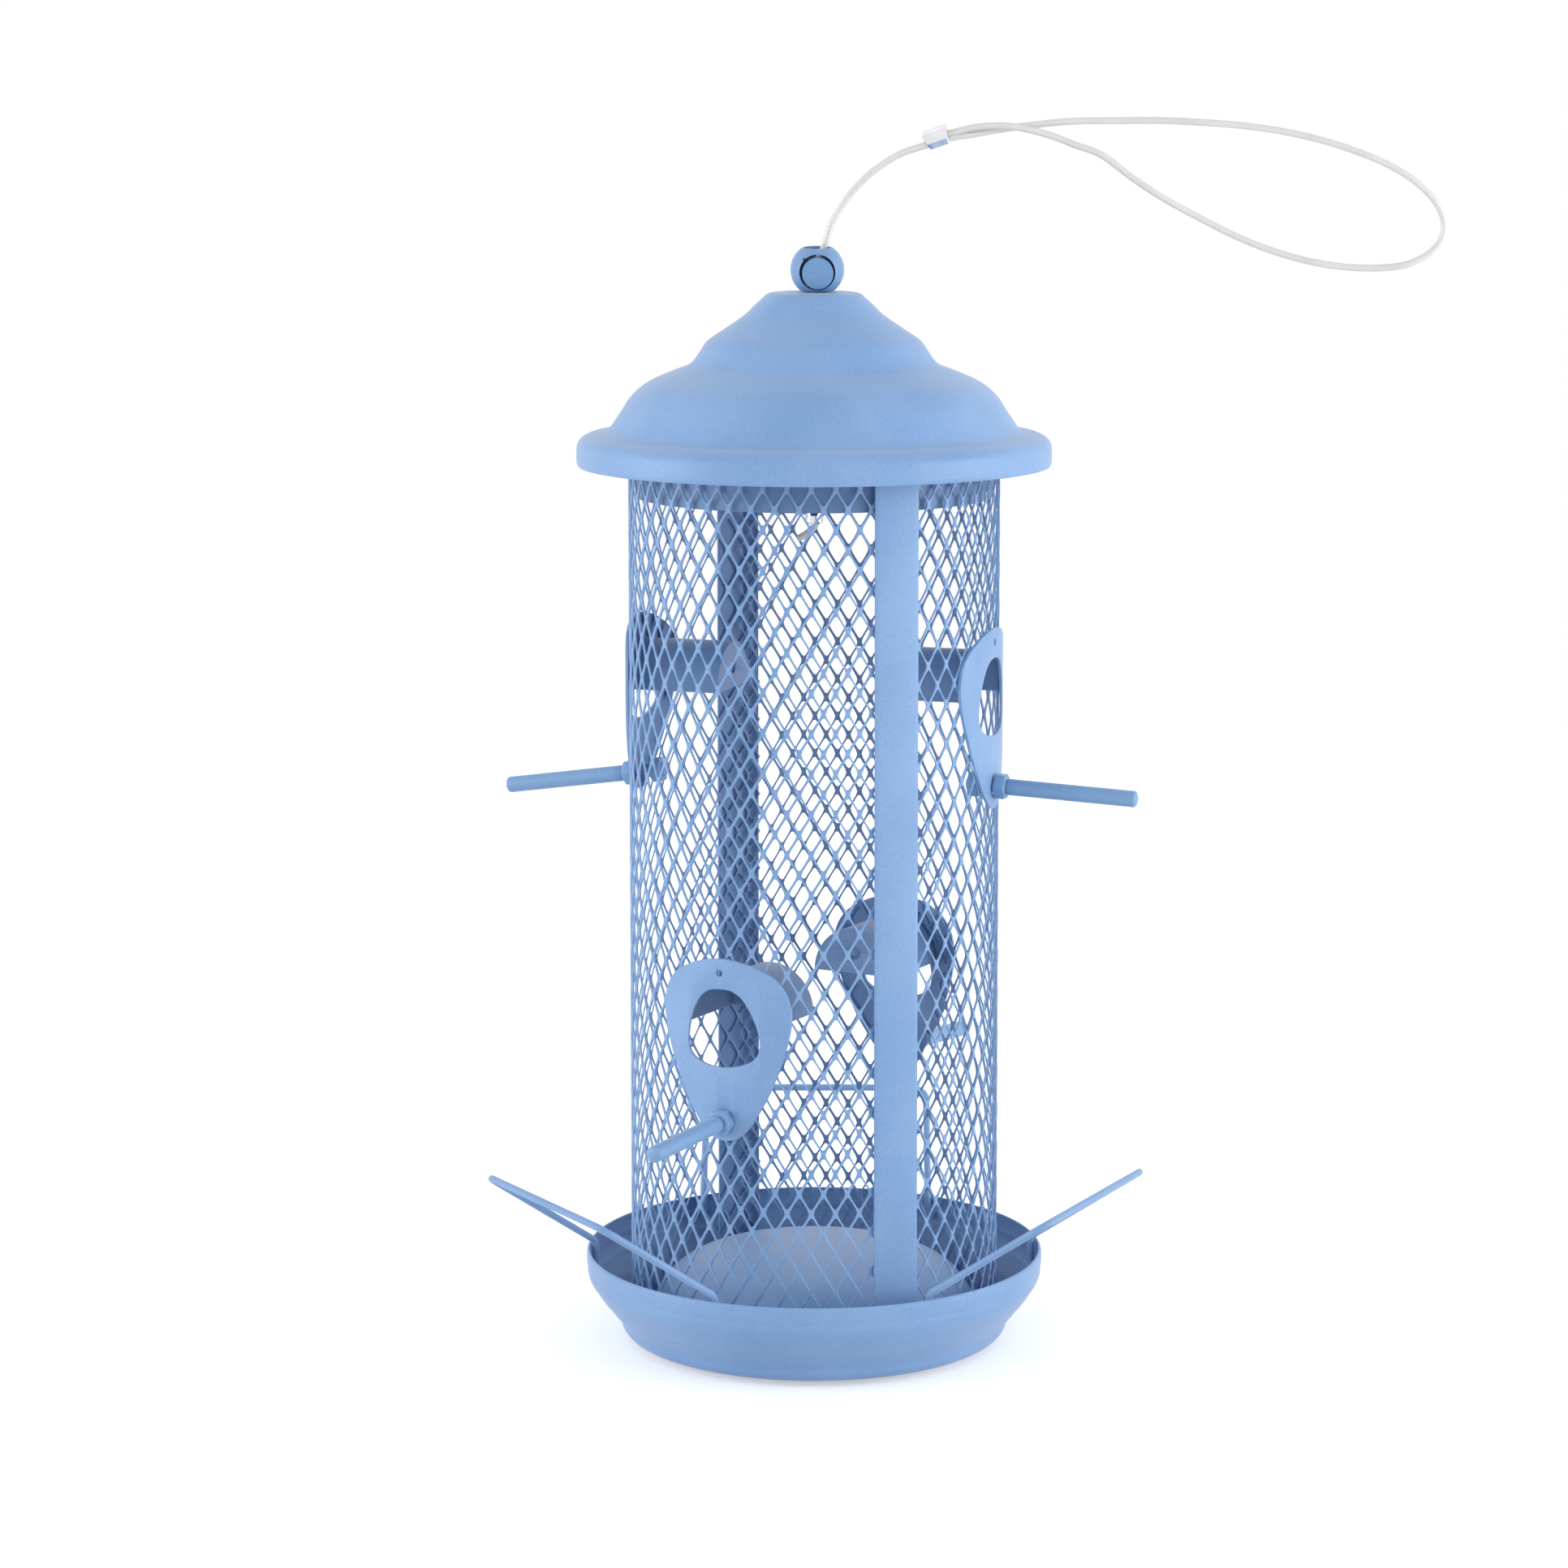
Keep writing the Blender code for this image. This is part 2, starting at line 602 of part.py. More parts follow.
def hood_shape():
    """A half-round tunnel with a closed inner end and an open foot, trimmed to the back of the plate."""
    length = SKIN_INNER - HOOD_INNER_RADIUS
    middle = Matrix.Translation((0, -HOOD_INNER_RADIUS - length / 2, 0))
    skin = arch(HOOD_RADIUS, 0) + list(reversed(arch(HOOD_RADIUS - HOOD_SHEET, 0)))
    hood = prism("hood_skin", [skin], length)
    hood.data.transform(middle)
    hole = circle(HOOD_HOLE_RADIUS, 0, HOOD_HOLE_HEIGHT, 8)
    end = prism("hood_end", [arch(HOOD_RADIUS, 0), hole], HOOD_SHEET)
    end.data.transform(Matrix.Translation((0, -HOOD_INNER_RADIUS - HOOD_SHEET / 2, 0)))
    cut(hood, end, "UNION")
    back = cylinder("plate_back", SKIN_INNER - SEAT_GAP, 4 * HOOD_RADIUS, (0, 0, HOOD_RADIUS), (0, 0, 1), 96)
    cut(hood, back, "INTERSECT")
    hidden(hood)
    mesh = baked(hood)
    mesh.materials.clear()
    mesh.materials.append(painted("hood_paint"))
    return mesh


def nut_mesh(name, length):
    """A plain hexagonal nut about the Z axis, standing on its seat."""
    corner = NUT_FLATS / 2 / math.cos(math.radians(30))
    shape = [circle(corner, 0, 0, 6), circle(STUD_RADIUS + SEAT_GAP, 0, 0, ROD_SIDES)]
    nut = prism(name, shape, length, stand=False)
    nut.data.transform(Matrix.Translation((0, 0, length / 2)))
    hidden(nut)
    nut.data.materials.append(painted(name + "_paint"))
    return nut.data


def make_rods():
    """Round perch rods screwed through the plates, each with a nut outside and a nut inside."""
    outer = nut_mesh("outer_nut", NUT_OUTER_LENGTH)
    inner = nut_mesh("inner_nut", NUT_INNER_LENGTH)
    tilt_room = NUT_FLATS / 2
    for name, angle, upper, hood_rise, droop in PORTS:
        height = port_base(upper) + PLATE_HEIGHT - ROD_DROP
        lean = math.tan(math.radians(droop)) * tilt_room + SEAT_GAP
        # The rod's own axis is +Z here, and z is measured from the middle of the plate
        plate_middle = SKIN_INNER + PLATE_SHEET / 2
        world = Matrix.Translation((0, 0, height)) @ turned_to(angle)
        world = world @ Matrix.Translation((0, -plate_middle, 0))
        world = world @ Matrix.Rotation(math.radians(90 + droop), 4, "X")
        seat = PLATE_SHEET / 2 + lean
        shoulder = seat + NUT_OUTER_LENGTH + SEAT_GAP
        tip = ROD_TIP_RADIUS - plate_middle
        foot = ROD_INNER_RADIUS - plate_middle
        outline = [(0, tip), (ROD_RADIUS - ROD_ROUND, tip), (ROD_RADIUS, tip - ROD_ROUND),
                   (ROD_RADIUS, shoulder), (STUD_RADIUS, shoulder), (STUD_RADIUS, foot), (0, foot)]
        rod = turned("perch_rod_" + name, outline, painted("rod_paint_" + name), steps=ROD_SIDES)
        rod.matrix_world = world
        inner_seat = MESH_INNER - SEAT_GAP - math.tan(math.radians(droop)) * tilt_room - plate_middle
        for side, mesh, start in (("outer", outer, seat), ("inner", inner, inner_seat - NUT_INNER_LENGTH)):
            nut = place(f"perch_{side}_nut_{name}", mesh, None)
            nut.matrix_world = world @ Matrix.Translation((0, 0, start))


def make_wire_perches():
    """Three wire loops that rise outwards over the rim, with their feet bent down inside the tray."""
    half = WIRE_WIDTH / 2
    wall = TRAY_RADIUS - 2 * TRAY_SHEET - WIRE_RADIUS
    foot_reach = math.sqrt(wall**2 - half**2)
    knee_height = TRAY_HEIGHT + WIRE_RIM_RISE
    for name, angle in WIRES:
        def at(side, reach, height):
            return turned_to(angle) @ Vector((side * half, -reach, height))
        points = []
        for side in (1, -1):
            foot = at(side, foot_reach, knee_height - WIRE_FOOT_DEPTH)
            knee = at(side, foot_reach, knee_height)
            corner = at(side, WIRE_REACH, WIRE_TIP_HEIGHT)
            other = at(-side, WIRE_REACH, WIRE_TIP_HEIGHT)
            run = [foot, *arc_points(knee, foot, corner, WIRE_ELBOW, 3),
                   *arc_points(corner, knee, other, WIRE_CORNER, 4)]
            points += run if side == 1 else run[::-1]
        tube("wire_perch_" + name, points, WIRE_RADIUS, painted("wire_paint_" + name), sides=1)


def make_bridge():
    """A flat bar across the top ring with upturned ends, and the hole that the cable hangs it by."""
    inside = (RING_OUTER - RING_SHEET) * math.cos(math.pi / TURN_STEPS)
    half = BRIDGE_SHEET / 2
    reach = math.sqrt(inside**2 - (BRIDGE_WIDTH / 2)**2) - SEAT_GAP - half
    outline = [(-reach - half, BRIDGE_TAB), (-reach - half, -half), (reach + half, -half),
               (reach + half, BRIDGE_TAB), (reach - half, BRIDGE_TAB), (reach - half, half),
               (-reach + half, half), (-reach + half, BRIDGE_TAB)]
    bar = prism("hanger_bridge", [outline], BRIDGE_WIDTH, collection=PARTS)
    bar.data.materials.append(painted("bridge_paint"))
    bar.matrix_world = Matrix.Translation((0, 0, BRIDGE_FOOT + half)) @ turned_to(STRAP_ANGLE)
    hole = cylinder("bridge_hole", CABLE_RADIUS + SEAT_GAP, BRIDGE_SHEET + CUT_OVERRUN,
                    (0, 0, BRIDGE_FOOT + half), (0, 0, 1), 12)
    cut(bar, hole)


def make_ball_lock():
    """The ball that holds the lid down, its push button and the button's spring."""
    foot = LID_TOP + SEAT_GAP
    side = [(r * BALL_RADIUS, foot + z * BALL_HEIGHT) for r, z in BALL_SHARES]
    outline = [(0, foot + BALL_HEIGHT), *side, (0, foot)]
    ball = turned("lock_ball", outline, painted("ball_paint"), steps=20)
    over = (0, 0, BALL_MIDDLE + BALL_HEIGHT / 2)
    cut(ball, cylinder("ball_mouth", BALL_MOUTH_RADIUS, BALL_HEIGHT, over, (0, 0, 1), 24))
    under = (0, 0, foot + BALL_HEIGHT / 4)
    cut(ball, cylinder("ball_cable_way", BALL_CABLE_HOLE, BALL_HEIGHT, under, (0, 0, 1), 12))
    bore_middle = (0, (BORE_END - 2 * BALL_RADIUS) / 2, BALL_MIDDLE)
    cut(ball, cylinder("ball_bore", BORE_RADIUS, BORE_END + 2 * BALL_RADIUS, bore_middle, (0, 1, 0), 24))
    front = -BUTTON_REACH
    button = cylinder("push_button", BUTTON_RADIUS, BUTTON_LENGTH, (0, 0, 0), (0, 1, 0), 24,
                      painted("button_paint"), PARTS)
    button.location = (0, front + BUTTON_LENGTH / 2, BALL_MIDDLE)
    bevel = button.modifiers.new("edge", "BEVEL")
    bevel.width = BUTTON_BEVEL
    bevel.segments = 1
    bevel.limit_method = "ANGLE"
    slot = block("button_slot", (-SLOT_WIDTH / 2, -SLOT_FRONT, BALL_MIDDLE - 2 * BUTTON_RADIUS),
                 (SLOT_WIDTH / 2, SLOT_BACK, BALL_MIDDLE + 2 * BUTTON_RADIUS))
    cut(button, slot)
    start = front + BUTTON_LENGTH + SEAT_GAP + SPRING_WIRE
    end = BORE_END - SEAT_GAP - SPRING_WIRE
    steps = SPRING_TURNS * 10
    turns = [(k / steps, 2 * math.pi * SPRING_TURNS * k / steps) for k in range(steps + 1)]
    coil = [(SPRING_RADIUS * math.cos(turn), start + (end - start) * share,
             BALL_MIDDLE + SPRING_RADIUS * math.sin(turn)) for share, turn in turns]
    tube("button_spring", coil, SPRING_WIRE, finish("spring_steel", STEEL, 0.35, 1.0), sides=1)


def make_cable():
    """The cable inside the tube with its stop, the free loop above it and the sleeve that closes the loop."""
    steel = finish("cable_steel", STEEL, 0.4, 0.6)
    stop_foot = STOP_TOP - STOP_LENGTH
    route = [(x, y, FEEDER_HEIGHT + z) for x, y, z in CABLE_ROUTE]
    top = route[0][2] - CABLE_JOIN
    core = [(0, 0, top), (0, 0, stop_foot - CABLE_RADIUS),
            (-TAIL_REACH / 3, 0, stop_foot - TAIL_DROP / 2), (-TAIL_REACH, 0, stop_foot - TAIL_DROP)]
    tube("cable_core", core, CABLE_RADIUS, steel)
    way = CABLE_RADIUS + SEAT_GAP
    collar = [(STOP_RADIUS, STOP_TOP), (STOP_RADIUS, stop_foot), (way, stop_foot), (way, STOP_TOP)]
    turned("cable_stop", collar, finish("stop_metal", ALUMINIUM, 0.4, 1.0), steps=16)
    tube("hanging_cable", smooth_route(route, CABLE_POINTS), CABLE_RADIUS, steel)
    leading, trailing = Vector(route[SLEEVE_AT]), Vector(route[-2])
    along = (Vector(route[SLEEVE_AT + 1]) - Vector(route[SLEEVE_AT - 1])).normalized()
    across = trailing - leading
    apart = (across - along * across.dot(along)).length
    middle = (leading + trailing) / 2 + along * CABLE_RADIUS
    world = Matrix.Translation(middle) @ Matrix.Rotation(-math.atan2(along.z, along.x), 4, "Y")
    sleeve = cylinder("loop_sleeve", SLEEVE_DEPTH / 2, SLEEVE_LENGTH, (0, 0, 0), (1, 0, 0), 20,
                      finish("sleeve_metal", ALUMINIUM, 0.4, 1.0), PARTS)
    sleeve.data.transform(Matrix.Diagonal((1, 1, SLEEVE_HEIGHT / SLEEVE_DEPTH, 1)))
    sleeve.matrix_world = world
    # One oval way holds both strands side by side
    bore = CABLE_RADIUS + SLEEVE_PLAY
    strands = cylinder("sleeve_way", bore, SLEEVE_LENGTH + CUT_OVERRUN, (0, 0, 0), (1, 0, 0), 20)
    strands.data.transform(Matrix.Diagonal((1, 1, 1 + apart / 2 / bore, 1)))
    strands.matrix_world = world
    cut(sleeve, strands)


make_tray()
make_dome()
make_mesh_tube()
make_top_ring()
make_straps()
make_ports()
make_rods()
make_wire_perches()
make_bridge()
make_lid()
make_ball_lock()
make_cable()
for piece in PARTS.objects:
    if piece.type == "MESH" and not piece.name.startswith(("port_plate", "seed_hood")):
        soften(piece)
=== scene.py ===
# %% [markdown]
# # A mesh-tube seed feeder
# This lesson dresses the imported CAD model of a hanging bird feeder: a tube of expanded metal on a dished
# tray, four ports with perches, a spun lid and a wire rope. The CAD solids carry the motion and are coarse,
# so most of them are replaced here by finer meshes that sit in the same place. Everything is in metres, +Z
# is up and the front faces -Y. Angles round the tube are degrees from the front, positive towards +X.

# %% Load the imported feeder
import math

import bmesh
import bpy
import numpy as np
from mathutils import Matrix, Vector


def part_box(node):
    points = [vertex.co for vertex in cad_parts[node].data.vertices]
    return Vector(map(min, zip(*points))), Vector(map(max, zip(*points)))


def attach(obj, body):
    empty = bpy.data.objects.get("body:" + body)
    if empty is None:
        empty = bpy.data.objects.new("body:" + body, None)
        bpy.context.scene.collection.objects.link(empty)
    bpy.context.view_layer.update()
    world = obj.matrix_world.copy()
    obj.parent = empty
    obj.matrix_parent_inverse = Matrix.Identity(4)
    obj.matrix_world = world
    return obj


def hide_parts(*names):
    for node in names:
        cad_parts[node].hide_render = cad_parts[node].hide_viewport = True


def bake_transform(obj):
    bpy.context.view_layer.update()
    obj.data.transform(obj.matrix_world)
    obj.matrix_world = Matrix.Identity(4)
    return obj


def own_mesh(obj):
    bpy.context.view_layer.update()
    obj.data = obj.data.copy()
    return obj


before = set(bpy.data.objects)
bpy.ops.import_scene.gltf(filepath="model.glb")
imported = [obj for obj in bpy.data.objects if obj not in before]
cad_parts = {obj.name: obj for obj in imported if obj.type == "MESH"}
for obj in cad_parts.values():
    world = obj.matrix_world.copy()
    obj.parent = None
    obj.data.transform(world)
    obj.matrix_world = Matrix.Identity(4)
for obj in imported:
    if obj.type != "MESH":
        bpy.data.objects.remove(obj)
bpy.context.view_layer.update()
MM = 0.001

# %% [markdown]
# ## The camera
# The photo looks at the feeder from a little above, with a long lens. A shorter lens close up would bend the
# tray's ellipse more. The lens shift slides the picture without turning the camera, so upright edges of the
# tube stay upright as they do in the photo.

# %% A long lens at the photo's height
LENS_LENGTH = 99.93
SENSOR_WIDTH = 36
CAMERA_PLACE = (0, -1.2235, 0.364)
CAMERA_PITCH = 83.6
CAMERA_SHIFT = (-0.0192, -0.1488)
lens = bpy.data.cameras.new("feeder_camera")
lens.sensor_width = SENSOR_WIDTH
lens.lens = LENS_LENGTH
lens.shift_x, lens.shift_y = CAMERA_SHIFT
camera = bpy.data.objects.new("feeder_camera", lens)
camera.location = CAMERA_PLACE
camera.rotation_euler = (math.radians(CAMERA_PITCH), 0, 0)
bpy.context.scene.collection.objects.link(camera)
bpy.context.scene.camera = camera
print("camera", round(math.hypot(*CAMERA_PLACE), 3), "m from the tray")

# %% [markdown]
# ## Small tools
# Each piece here is made from points that code works out. These tools turn rings of points into closed
# skins: a wire, a strip and a turned bowl are all rings joined one to the next. One tool cuts a piece with
# another, and one rounds its corners as paint does.


# %% Points round the tube
def around(angle, radius, height):
    """A point at an angle from the front, a distance from the tube's axis and a height."""
    turn = math.radians(angle)
    return Vector((radius * math.sin(turn), -radius * math.cos(turn), height))


def swung(angle):
    """The matrix that swings a piece made at the front to its angle round the tube."""
    return Matrix.Rotation(math.radians(angle), 4, "Z")


def smooth_line(points, steps):
    """A smooth line through points of any dimension, with so many steps between each two."""
    points = [np.array(p, float) for p in points]
    ends = [2 * points[0] - points[1], *points, 2 * points[-1] - points[-2]]
    line = []
    for a, b, c, d in zip(ends, ends[1:], ends[2:], ends[3:]):
        for t in np.arange(steps) / steps:
            line.append(0.5 * (2 * b + (c - a) * t + (2 * a - 5 * b + 4 * c - d) * t**2
                               + (3 * b - a - 3 * c + d) * t**3))
    return line + [points[-1]]


print("a point at the front strap:", around(25.2, 52.4 * MM, 0))


# %% Skins from rings of points
ON_AXIS = 1e-7


def as_object(name, verts, faces, smooth_angle=35):
    """An object from points and faces, smooth where its faces meet below an angle."""
    mesh = bpy.data.meshes.new(name)
    mesh.from_pydata([tuple(v) for v in verts], [], faces)
    mesh.validate()
    thing = bpy.data.objects.new(name, mesh)
    bpy.context.scene.collection.objects.link(thing)
    outward(mesh)
    soften(mesh, smooth_angle)
    return thing


def outward(mesh):
    """Turns every face of a closed skin to the outside."""
    bm = bmesh.new()
    bm.from_mesh(mesh)
    bmesh.ops.recalc_face_normals(bm, faces=bm.faces[:])
    bm.to_mesh(mesh)
    bm.free()


def soften(mesh, smooth_angle=35):
    """Round faces look round and real corners stay sharp."""
    mesh.shade_smooth()
    mesh.set_sharp_from_angle(angle=math.radians(smooth_angle))


def lofted(name, rings, smooth_angle=35):
    """A skin over rings of equally many points, with its first and last ring filled."""
    count = len(rings[0])
    last = (len(rings) - 1) * count
    verts = [p for ring in rings for p in ring]
    faces = []
    for one in range(0, last, count):
        for j in range(count):
            i = (j + 1) % count
            faces.append((one + j, one + i, one + count + i, one + count + j))
    faces.append(tuple(reversed(range(count))))
    faces.append(tuple(range(last, last + count)))
    return as_object(name, verts, faces, smooth_angle)


def spun(name, outline, steps=160):
    """Spins a closed outline of (radius, height) points about the tube's axis."""
    verts, faces, columns = [], [], []
    for radius, height in outline:
        if radius < ON_AXIS:
            columns.append([len(verts)] * steps)
            verts.append((0, 0, height))
            continue
        columns.append(list(range(len(verts), len(verts) + steps)))
        verts += [around(360 * k / steps, radius, height) for k in range(steps)]
    for one, two in zip(columns, columns[1:] + columns[:1]):
        for k in range(steps):
            n = (k + 1) % steps
            corners = tuple(dict.fromkeys((one[k], one[n], two[n], two[k])))
            if len(corners) > 2:
                faces.append(corners)
    return as_object(name, verts, faces)


print("tools for rings are ready")


# %% [markdown]
# ### Sheet metal from one line
# Spun sheet has the same thickness everywhere. So the outer face is drawn as one line, and the inner face
# is that line moved inwards by the sheet's thickness, with a small round lip where the two meet.

# %% Sheets, sweeps and cuts
def sheet_outline(line, thick, lip_steps=5):
    """A closed outline: an outer line, the same line moved inwards, and round lips that join them."""
    line = np.array(line, float)
    run = np.gradient(line, axis=0)
    run /= np.linalg.norm(run, axis=1)[:, None]
    inwards = np.stack([run[:, 1], -run[:, 0]], axis=1)
    inner = line + inwards * thick
    lips = []
    for end, way in ((-1, 1), (0, -1)):
        turns = np.linspace(0, math.pi, lip_steps + 2)[1:-1]
        lips.append([line[end] + inwards[end] * thick / 2 * (1 - math.cos(t))
                     + run[end] * way * thick / 2 * math.sin(t) for t in turns])
    outline = list(line) + lips[0] + list(inner[::-1])
    if line[0][0] < ON_AXIS:
        outline[-1] = np.array([0.0, outline[-1][1]])
    else:
        outline += lips[1][::-1]
    return [(max(0.0, float(r)), float(z)) for r, z in outline]


def section_rings(path, section, twist=None):
    """Rings of a flat (across, up) section carried along a path without any roll but the twist."""
    path = [Vector(p) for p in path]
    rings, across = [], None
    for k, here in enumerate(path):
        along = (path[min(k + 1, len(path) - 1)] - path[max(k - 1, 0)]).normalized()
        if across is None:
            first = Vector((0, 1, 0)) if abs(along.y) < 0.9 else Vector((1, 0, 0))
            across = (first - along * first.dot(along)).normalized()
        across = (across - along * across.dot(along)).normalized()
        up = along.cross(across)
        turn = twist[k] if twist is not None else 0.0
        cos, sin = math.cos(turn), math.sin(turn)
        rings.append([here + across * (x * cos - y * sin) + up * (x * sin + y * cos) for x, y in section])
    return rings


def circle_section(radius, count=16):
    """A flat round section."""
    return [(radius * math.cos(2 * math.pi * k / count), radius * math.sin(2 * math.pi * k / count))
            for k in range(count)]


def wire(name, path, radius, count=16):
    """A round wire along a path; each end is rounded over by two smaller rings."""
    rings = section_rings(path, circle_section(radius, count))
    for end, step in ((0, 1), (-1, -2)):
        tip = Vector(path[end])
        away = (tip - Vector(path[step])).normalized()
        caps = []
        for share in (0.35, 0.7):
            shrink = math.cos(share * math.pi / 2)
            reach = away * radius * 0.6 * math.sin(share * math.pi / 2)
            caps.append([tip + (p - tip) * shrink + reach for p in rings[end]])
        rings = caps[::-1] + rings if end == 0 else rings + caps
    return lofted(name, rings)


def carved(thing, tool, how="DIFFERENCE", solver="MANIFOLD", smooth_angle=35):
    """Cuts, joins or trims a closed piece with another closed piece, which is used up."""
    step = thing.modifiers.new("carve", "BOOLEAN")
    step.operation, step.solver, step.object = how, solver, tool
    return settled(thing, tool, smooth_angle=smooth_angle)


def settled(thing, *used, smooth_angle=35):
    """Applies the piece's modifiers and throws the used pieces away."""
    bpy.context.view_layer.update()
    graph = bpy.context.evaluated_depsgraph_get()
    mesh = bpy.data.meshes.new_from_object(thing.evaluated_get(graph))
    thing.modifiers.clear()
    thing.data = mesh
    for tool in used:
        bpy.data.objects.remove(tool)
    soften(mesh, smooth_angle)
    return thing


def rounded(thing, width, segments=2, smooth_angle=35):
    """Rounds the real corners of a piece, those above 40 degrees, by a small width."""
    step = thing.modifiers.new("edge", "BEVEL")
    step.width, step.segments, step.limit_method = width, segments, "ANGLE"
    step.angle_limit = math.radians(40)
    step.use_clamp_overlap = True
    return settled(thing, smooth_angle=smooth_angle)


def moved(thing, matrix):
    """Moves the piece's own points, so that its object stays at the origin."""
    thing.data.transform(matrix)
    return thing


def prism(name, loop, low, high):
    """A solid with a flat (x, z) outline between two depths along Y."""
    return lofted(name, [[(x, y, z) for x, z in loop] for y in (low, high)])


print("tools for sheets, sweeps and cuts are ready")


# %% [markdown]
# ## The satin blue powder coat
# Powder coat is baked paint: it has no flakes, a satin gloss, a very fine orange-peel skin and hardly any
# colour change. Two noises stir the colour a little, one slow and one as fine as the powder, and the fine
# one also lifts the surface by a few hundredths of a millimetre. The numbers that never change stay on the
# shader itself, because an export keeps only those.

# %% The coat's colours and its skin
COAT_BLUE = (0.178, 0.328, 0.590)
COAT_PALE = (0.222, 0.380, 0.650)
# The inside blue is a darker coat that is painted shade for faces inside the tube.
PAINTED_SHADE_BLUE = (0.118, 0.218, 0.405)
# The dome's coat is a little paler than the outside coat: painted light that lifts the domed floor, which the
# lid keeps in the shade.
DOME_PAINTED_LIGHT_BLUE = (0.205, 0.346, 0.590)


def tuned(node, **values):
    """Sets named inputs of a node."""
    for name, value in values.items():
        node.inputs[name.replace("_", " ")].default_value = value
    return node


def powder_coat(name, deep=COAT_BLUE, pale=COAT_PALE, peel=0.000025, roughness=0.46):
    """A satin powder coat with a fine orange-peel skin."""
    coat = bpy.data.materials.new(name)
    coat.use_nodes = True
    nodes, links = coat.node_tree.nodes, coat.node_tree.links
    shader = nodes["Principled BSDF"]
    tuned(shader, Roughness=roughness, IOR=1.5)
    shader.inputs["Sheen Weight"].default_value = 0.2
    shader.inputs["Sheen Roughness"].default_value = 0.45
    place = nodes.new("ShaderNodeTexCoord")
    slow = tuned(nodes.new("ShaderNodeTexNoise"), Scale=38.0, Detail=3.0)
    fine = tuned(nodes.new("ShaderNodeTexNoise"), Scale=1900.0, Detail=2.0)
    stir = nodes.new("ShaderNodeMix")
    tint = nodes.new("ShaderNodeValToRGB")
    tint.color_ramp.elements[0].position, tint.color_ramp.elements[1].position = 0.40, 0.60
    tint.color_ramp.elements[0].color = (*deep, 1)
    tint.color_ramp.elements[1].color = (*pale, 1)
    bump = tuned(nodes.new("ShaderNodeBump"), Strength=1.0, Distance=peel)
    for noise in (slow, fine):
        links.new(place.outputs["Object"], noise.inputs["Vector"])
    links.new(slow.outputs["Fac"], stir.inputs["A"])
    links.new(fine.outputs["Fac"], stir.inputs["B"])
    links.new(stir.outputs["Result"], tint.inputs["Fac"])
    links.new(tint.outputs["Color"], shader.inputs["Base Color"])
    links.new(fine.outputs["Fac"], bump.inputs["Height"])
    links.new(bump.outputs["Normal"], shader.inputs["Normal"])
    return coat


coat_outside = powder_coat("powder_coat_blue")
# Painted shade: a darker coat for faces inside the tube.
coat_painted_shade_inside = powder_coat("powder_coat_painted_shade_inside", PAINTED_SHADE_BLUE, tuple(c * 1.15 for c in PAINTED_SHADE_BLUE))
# Painted light: a paler coat that lifts the domed floor under the lid.
coat_painted_light_dome = powder_coat("powder_coat_painted_light_dome", DOME_PAINTED_LIGHT_BLUE, tuple(c * 1.06 for c in DOME_PAINTED_LIGHT_BLUE))
print("coats:", coat_outside.name, coat_painted_shade_inside.name, coat_painted_light_dome.name)


# %% [markdown]
# ### Handing a piece over
# Every piece rides on one CAD body, so it moves when that body moves. It also says which CAD nodes it
# stands for, so those are hidden. Faces inside the tube can take a darker coat of their own, which is
# painted shade, for the inside lies in the shade.

# %% Give a piece its finish, its body and its nodes
FACING_IN = -0.3


def fitted(thing, coat, body, *nodes, slot="blue_coat"):
    """Dresses a piece, hands it to its body and hides the CAD nodes that it stands for."""
    thing.data.materials.clear()
    thing.data.materials.append(coat)
    if body:
        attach(thing, body)
    if nodes:
        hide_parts(*nodes)
    return thing


def add_painted_shade(thing):
    """Gives the faces that look towards the tube's axis the darker coat that is painted shade."""
    thing.data.materials.append(coat_painted_shade_inside)
    for face in thing.data.polygons:
        outwards = Vector((face.center.x, face.center.y, 0)).normalized()
        if face.normal.dot(outwards) < FACING_IN:
            face.material_index = len(thing.data.materials) - 1


def faces_of(thing):
    """How many triangles a piece has."""
    return sum(len(p.vertices) - 2 for p in thing.data.polygons)


print("ready to dress", len(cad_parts), "CAD nodes")

# %% [markdown]
# ## The wire rope
# The feeder hangs by a thin galvanised rope that springs up out of the ball, runs through an aluminium
# sleeve, makes a long loop and comes back into the sleeve. The rope is stiff enough to stand in the air. Its
# strands show as slanted ridges, so the section is a ring of lobes that turns as it travels. The route
# follows the CAD model's, with more points, each given from the tube's axis and the top of the ball.

